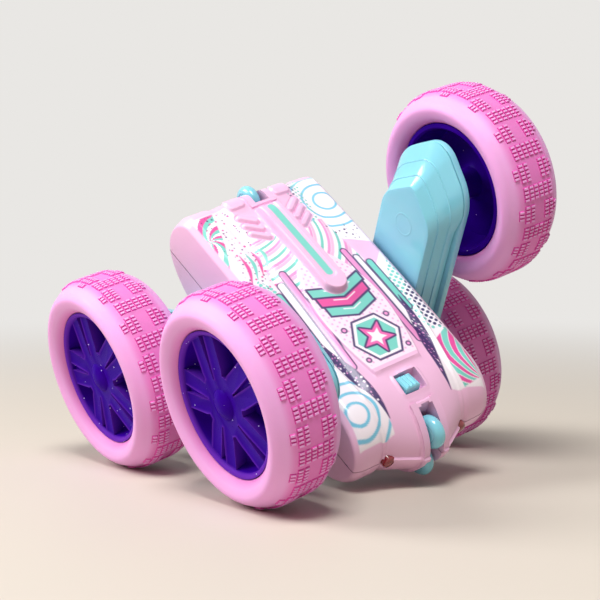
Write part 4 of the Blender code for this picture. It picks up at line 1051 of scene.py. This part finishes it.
def spoke_outline(half):
    """Outline of five spokes, from one spoke's (along, across) spots on its far side."""
    spots = [(out, -aside) for out, aside in half] + list(reversed(half))
    outline = []
    for spoke in range(SPOKES):
        middle = math.radians(SPOKE_START + 360.0 / SPOKES * spoke)
        along = Vector((math.cos(middle), math.sin(middle)))
        across = Vector((-along.y, along.x))
        outline += [tuple(along * out + across * aside) for out, aside in spots]
    return outline


def spoke_star():
    """Five wide spokes with a groove down each, joined in the middle, with a narrow ridge along every edge.
    """
    mesh = prism("hub_star", spoke_outline(SPOKE_EDGE + SPOKE_GROOVE), HUB_WEB - 0.5, HUB_FACE)
    shape = opened(mesh)
    top = max(shape.faces, key=lambda face: (round(face.calc_center_median().x, 3), face.calc_area()))
    bmesh.ops.inset_region(shape, faces=[top], thickness=RIDGE, depth=-RIDGE_DROP)
    under = spoke_outline([(out, aside - 0.2) for out, aside in SPOKE_EDGE])
    shape.from_mesh(prism("hub_star_floor", under, HUB_WEB - 0.4, HUB_FACE - GROOVE_DEPTH))
    for vert in shape.verts:
        if vert.co.x > HUB_WEB:
            vert.co.x -= hub_fall(math.hypot(vert.co.y, vert.co.z))
    return closed_into(mesh, shape)


def hub_mesh():
    """Dish with a narrow lip, wide spokes nearly flush with it, and deep pockets between them, with a
    highlight painted on the lip and along the spokes' ridges.
    """
    mesh = turned("hub_mesh", HUB_DISH, 96)
    shape = opened(mesh)
    shape.from_mesh(spoke_star())
    shape.from_mesh(turned("hub_cap", HUB_CAP, 48))
    # Painted highlight: full on the lip, less along the spokes' ridges
    painted_highlight = shape.verts.layers.float.new("painted_highlight")
    for vert in shape.verts:
        radius = math.hypot(vert.co.y, vert.co.z)
        if radius > LIP_RADIUS and vert.co.x > LIP_PLACE:
            vert[painted_highlight] = LIP_HIGHLIGHT
        elif radius > CAP_RADIUS and vert.co.x > HUB_FACE - hub_fall(radius) - 0.02:
            vert[painted_highlight] = RIDGE_HIGHLIGHT
    return closed_into(mesh, shape)


def wheels():
    tyre, hub = tyre_mesh(), hub_mesh()
    for side in ("left", "right"):
        for end in ("front", "rear"):
            name = f"{side}_{end}"
            body = f"{name}_wheel"
            place = Matrix.Translation(JOINTS[f"{body}_spin"]["pos_m"]) @ ARMS[side].to_3x3().to_4x4()
            spun = place @ Matrix.Rotation(LEFT_FRONT_TURN if name == "left_front" else 0, 4, "X")
            finish_object(f"{name}_soft_tyre", tyre.copy(), place, "tyre", body, (f"{name}_tyre",), 40)
            hubs = (f"{name}_hub", f"{name}_hub_cap")
            finish_object(f"{name}_rim", hub.copy(), spun, "hub", body, hubs, 40)


# Carried-over solids

def dress_solids():
    slots = {part["node"]: part["material_slot"] for part in frame["record"]["subparts"]}
    for name, node in frame["nodes"].items():
        node.data.materials.clear()
        node.data.materials.append(MATERIALS[DRESS[slots[name]]])


# Camera, floor and light, in metres

CAMERA_SPOT = PIVOT + Vector((-314.5, -447.9, 46.0)) * MM
CAMERA_AIM = Vector((0.5618, 0.8245, -0.0677))
CAMERA_LENS, CAMERA_SENSOR = 87.1, 36.0
FLOOR_HALF = 6.0
FLOOR_COLOURS = (0.60, 0.53, 0.45), (0.63, 0.56, 0.48)
FADE_START, FADE_END = 0.12, 0.75
AROUND_COLOUR, AROUND_STRENGTH = (1.0, 0.985, 0.97, 1), 0.11
LAMP_AIM = Vector((0, 0, 0.05))


def camera():
    made = bpy.data.cameras.new("photo_camera")
    made.lens = CAMERA_LENS
    made.sensor_width = CAMERA_SENSOR
    made.sensor_fit = "HORIZONTAL"
    made.clip_start = 0.01
    rig = linked("photo_camera", made)
    rig.location = CAMERA_SPOT
    rig.rotation_euler = CAMERA_AIM.to_track_quat("-Z", "Y").to_euler()
    bpy.context.scene.camera = rig


def floor():
    """Pale floor that fades into the backdrop's colour away from the car, to the eye only."""
    made, tree, shader = new_material("pale_floor")
    feed(tree, shader, {"Base Color": mixed(tree, noise(tree, 3.0, 4.0), *FLOOR_COLOURS), "Roughness": 0.6})
    far = add_node(tree, "ShaderNodeEmission", {"Color": (*BACKDROP, 1.0)})
    spot = add_node(tree, "ShaderNodeNewGeometry").outputs["Position"]
    reach = add_node(tree, "ShaderNodeVectorMath", {0: spot}, operation="LENGTH").outputs["Value"]
    ends = {"Value": reach, "From Min": FADE_START, "From Max": FADE_END}
    fade = add_node(tree, "ShaderNodeMapRange", ends, interpolation_type="SMOOTHSTEP")
    seen = worked(tree, "MULTIPLY", fade.outputs["Result"], shown(tree))
    choose_shader(tree, "Material Output", seen, shader, far)
    corners = [(FLOOR_HALF * x, FLOOR_HALF * y, 0) for x, y in ((-1, -1), (1, -1), (1, 1), (-1, 1))]
    mesh = plain_mesh("floor", corners, [(0, 1, 2, 3)])
    mesh.materials.append(made)
    plane = linked("floor", mesh)


def lamp(name, spot, size, power, colour=(1, 1, 1)):
    light = bpy.data.lights.new(name, "AREA")
    light.size = size
    light.energy = power
    light.color = colour
    made = linked(name, light)
    made.location = spot
    made.rotation_euler = (LAMP_AIM - Vector(spot)).to_track_quat("-Z", "Y").to_euler()
    made.visible_camera = False


def lights():
    world = bpy.data.worlds.new("studio")
    bpy.context.scene.world = world
    world.use_nodes = True
    tree = world.node_tree
    around = tree.nodes["Background"]
    feed(tree, around, {"Color": AROUND_COLOUR, "Strength": AROUND_STRENGTH})
    seen = add_node(tree, "ShaderNodeBackground", {"Color": (*BACKDROP, 1)})
    choose_shader(tree, "World Output", shown(tree), around, seen)
    lamp("window", (-0.85, 0.55, 0.75), 0.6, 12.5, (0.96, 0.98, 1.0))
    lamp("top", (-0.40, -0.45, 1.10), 0.45, 13.8)
    bpy.context.scene.view_settings.view_transform = "Standard"


dress_solids()
body_shell("upper_body", 1, upper_relief, upper_print, ("upper_shell", "deck_panel"))
body_shell("lower_body", -1, lower_relief, lower_print, ("lower_shell",))
slot_cheeks(1)
slot_cheeks(-1)
seam_shade_band()
rollers()
lenses()
switch()
arm("left")
arm("right")
wheels()
camera()
floor()
lights()

bpy.context.view_layer.update()
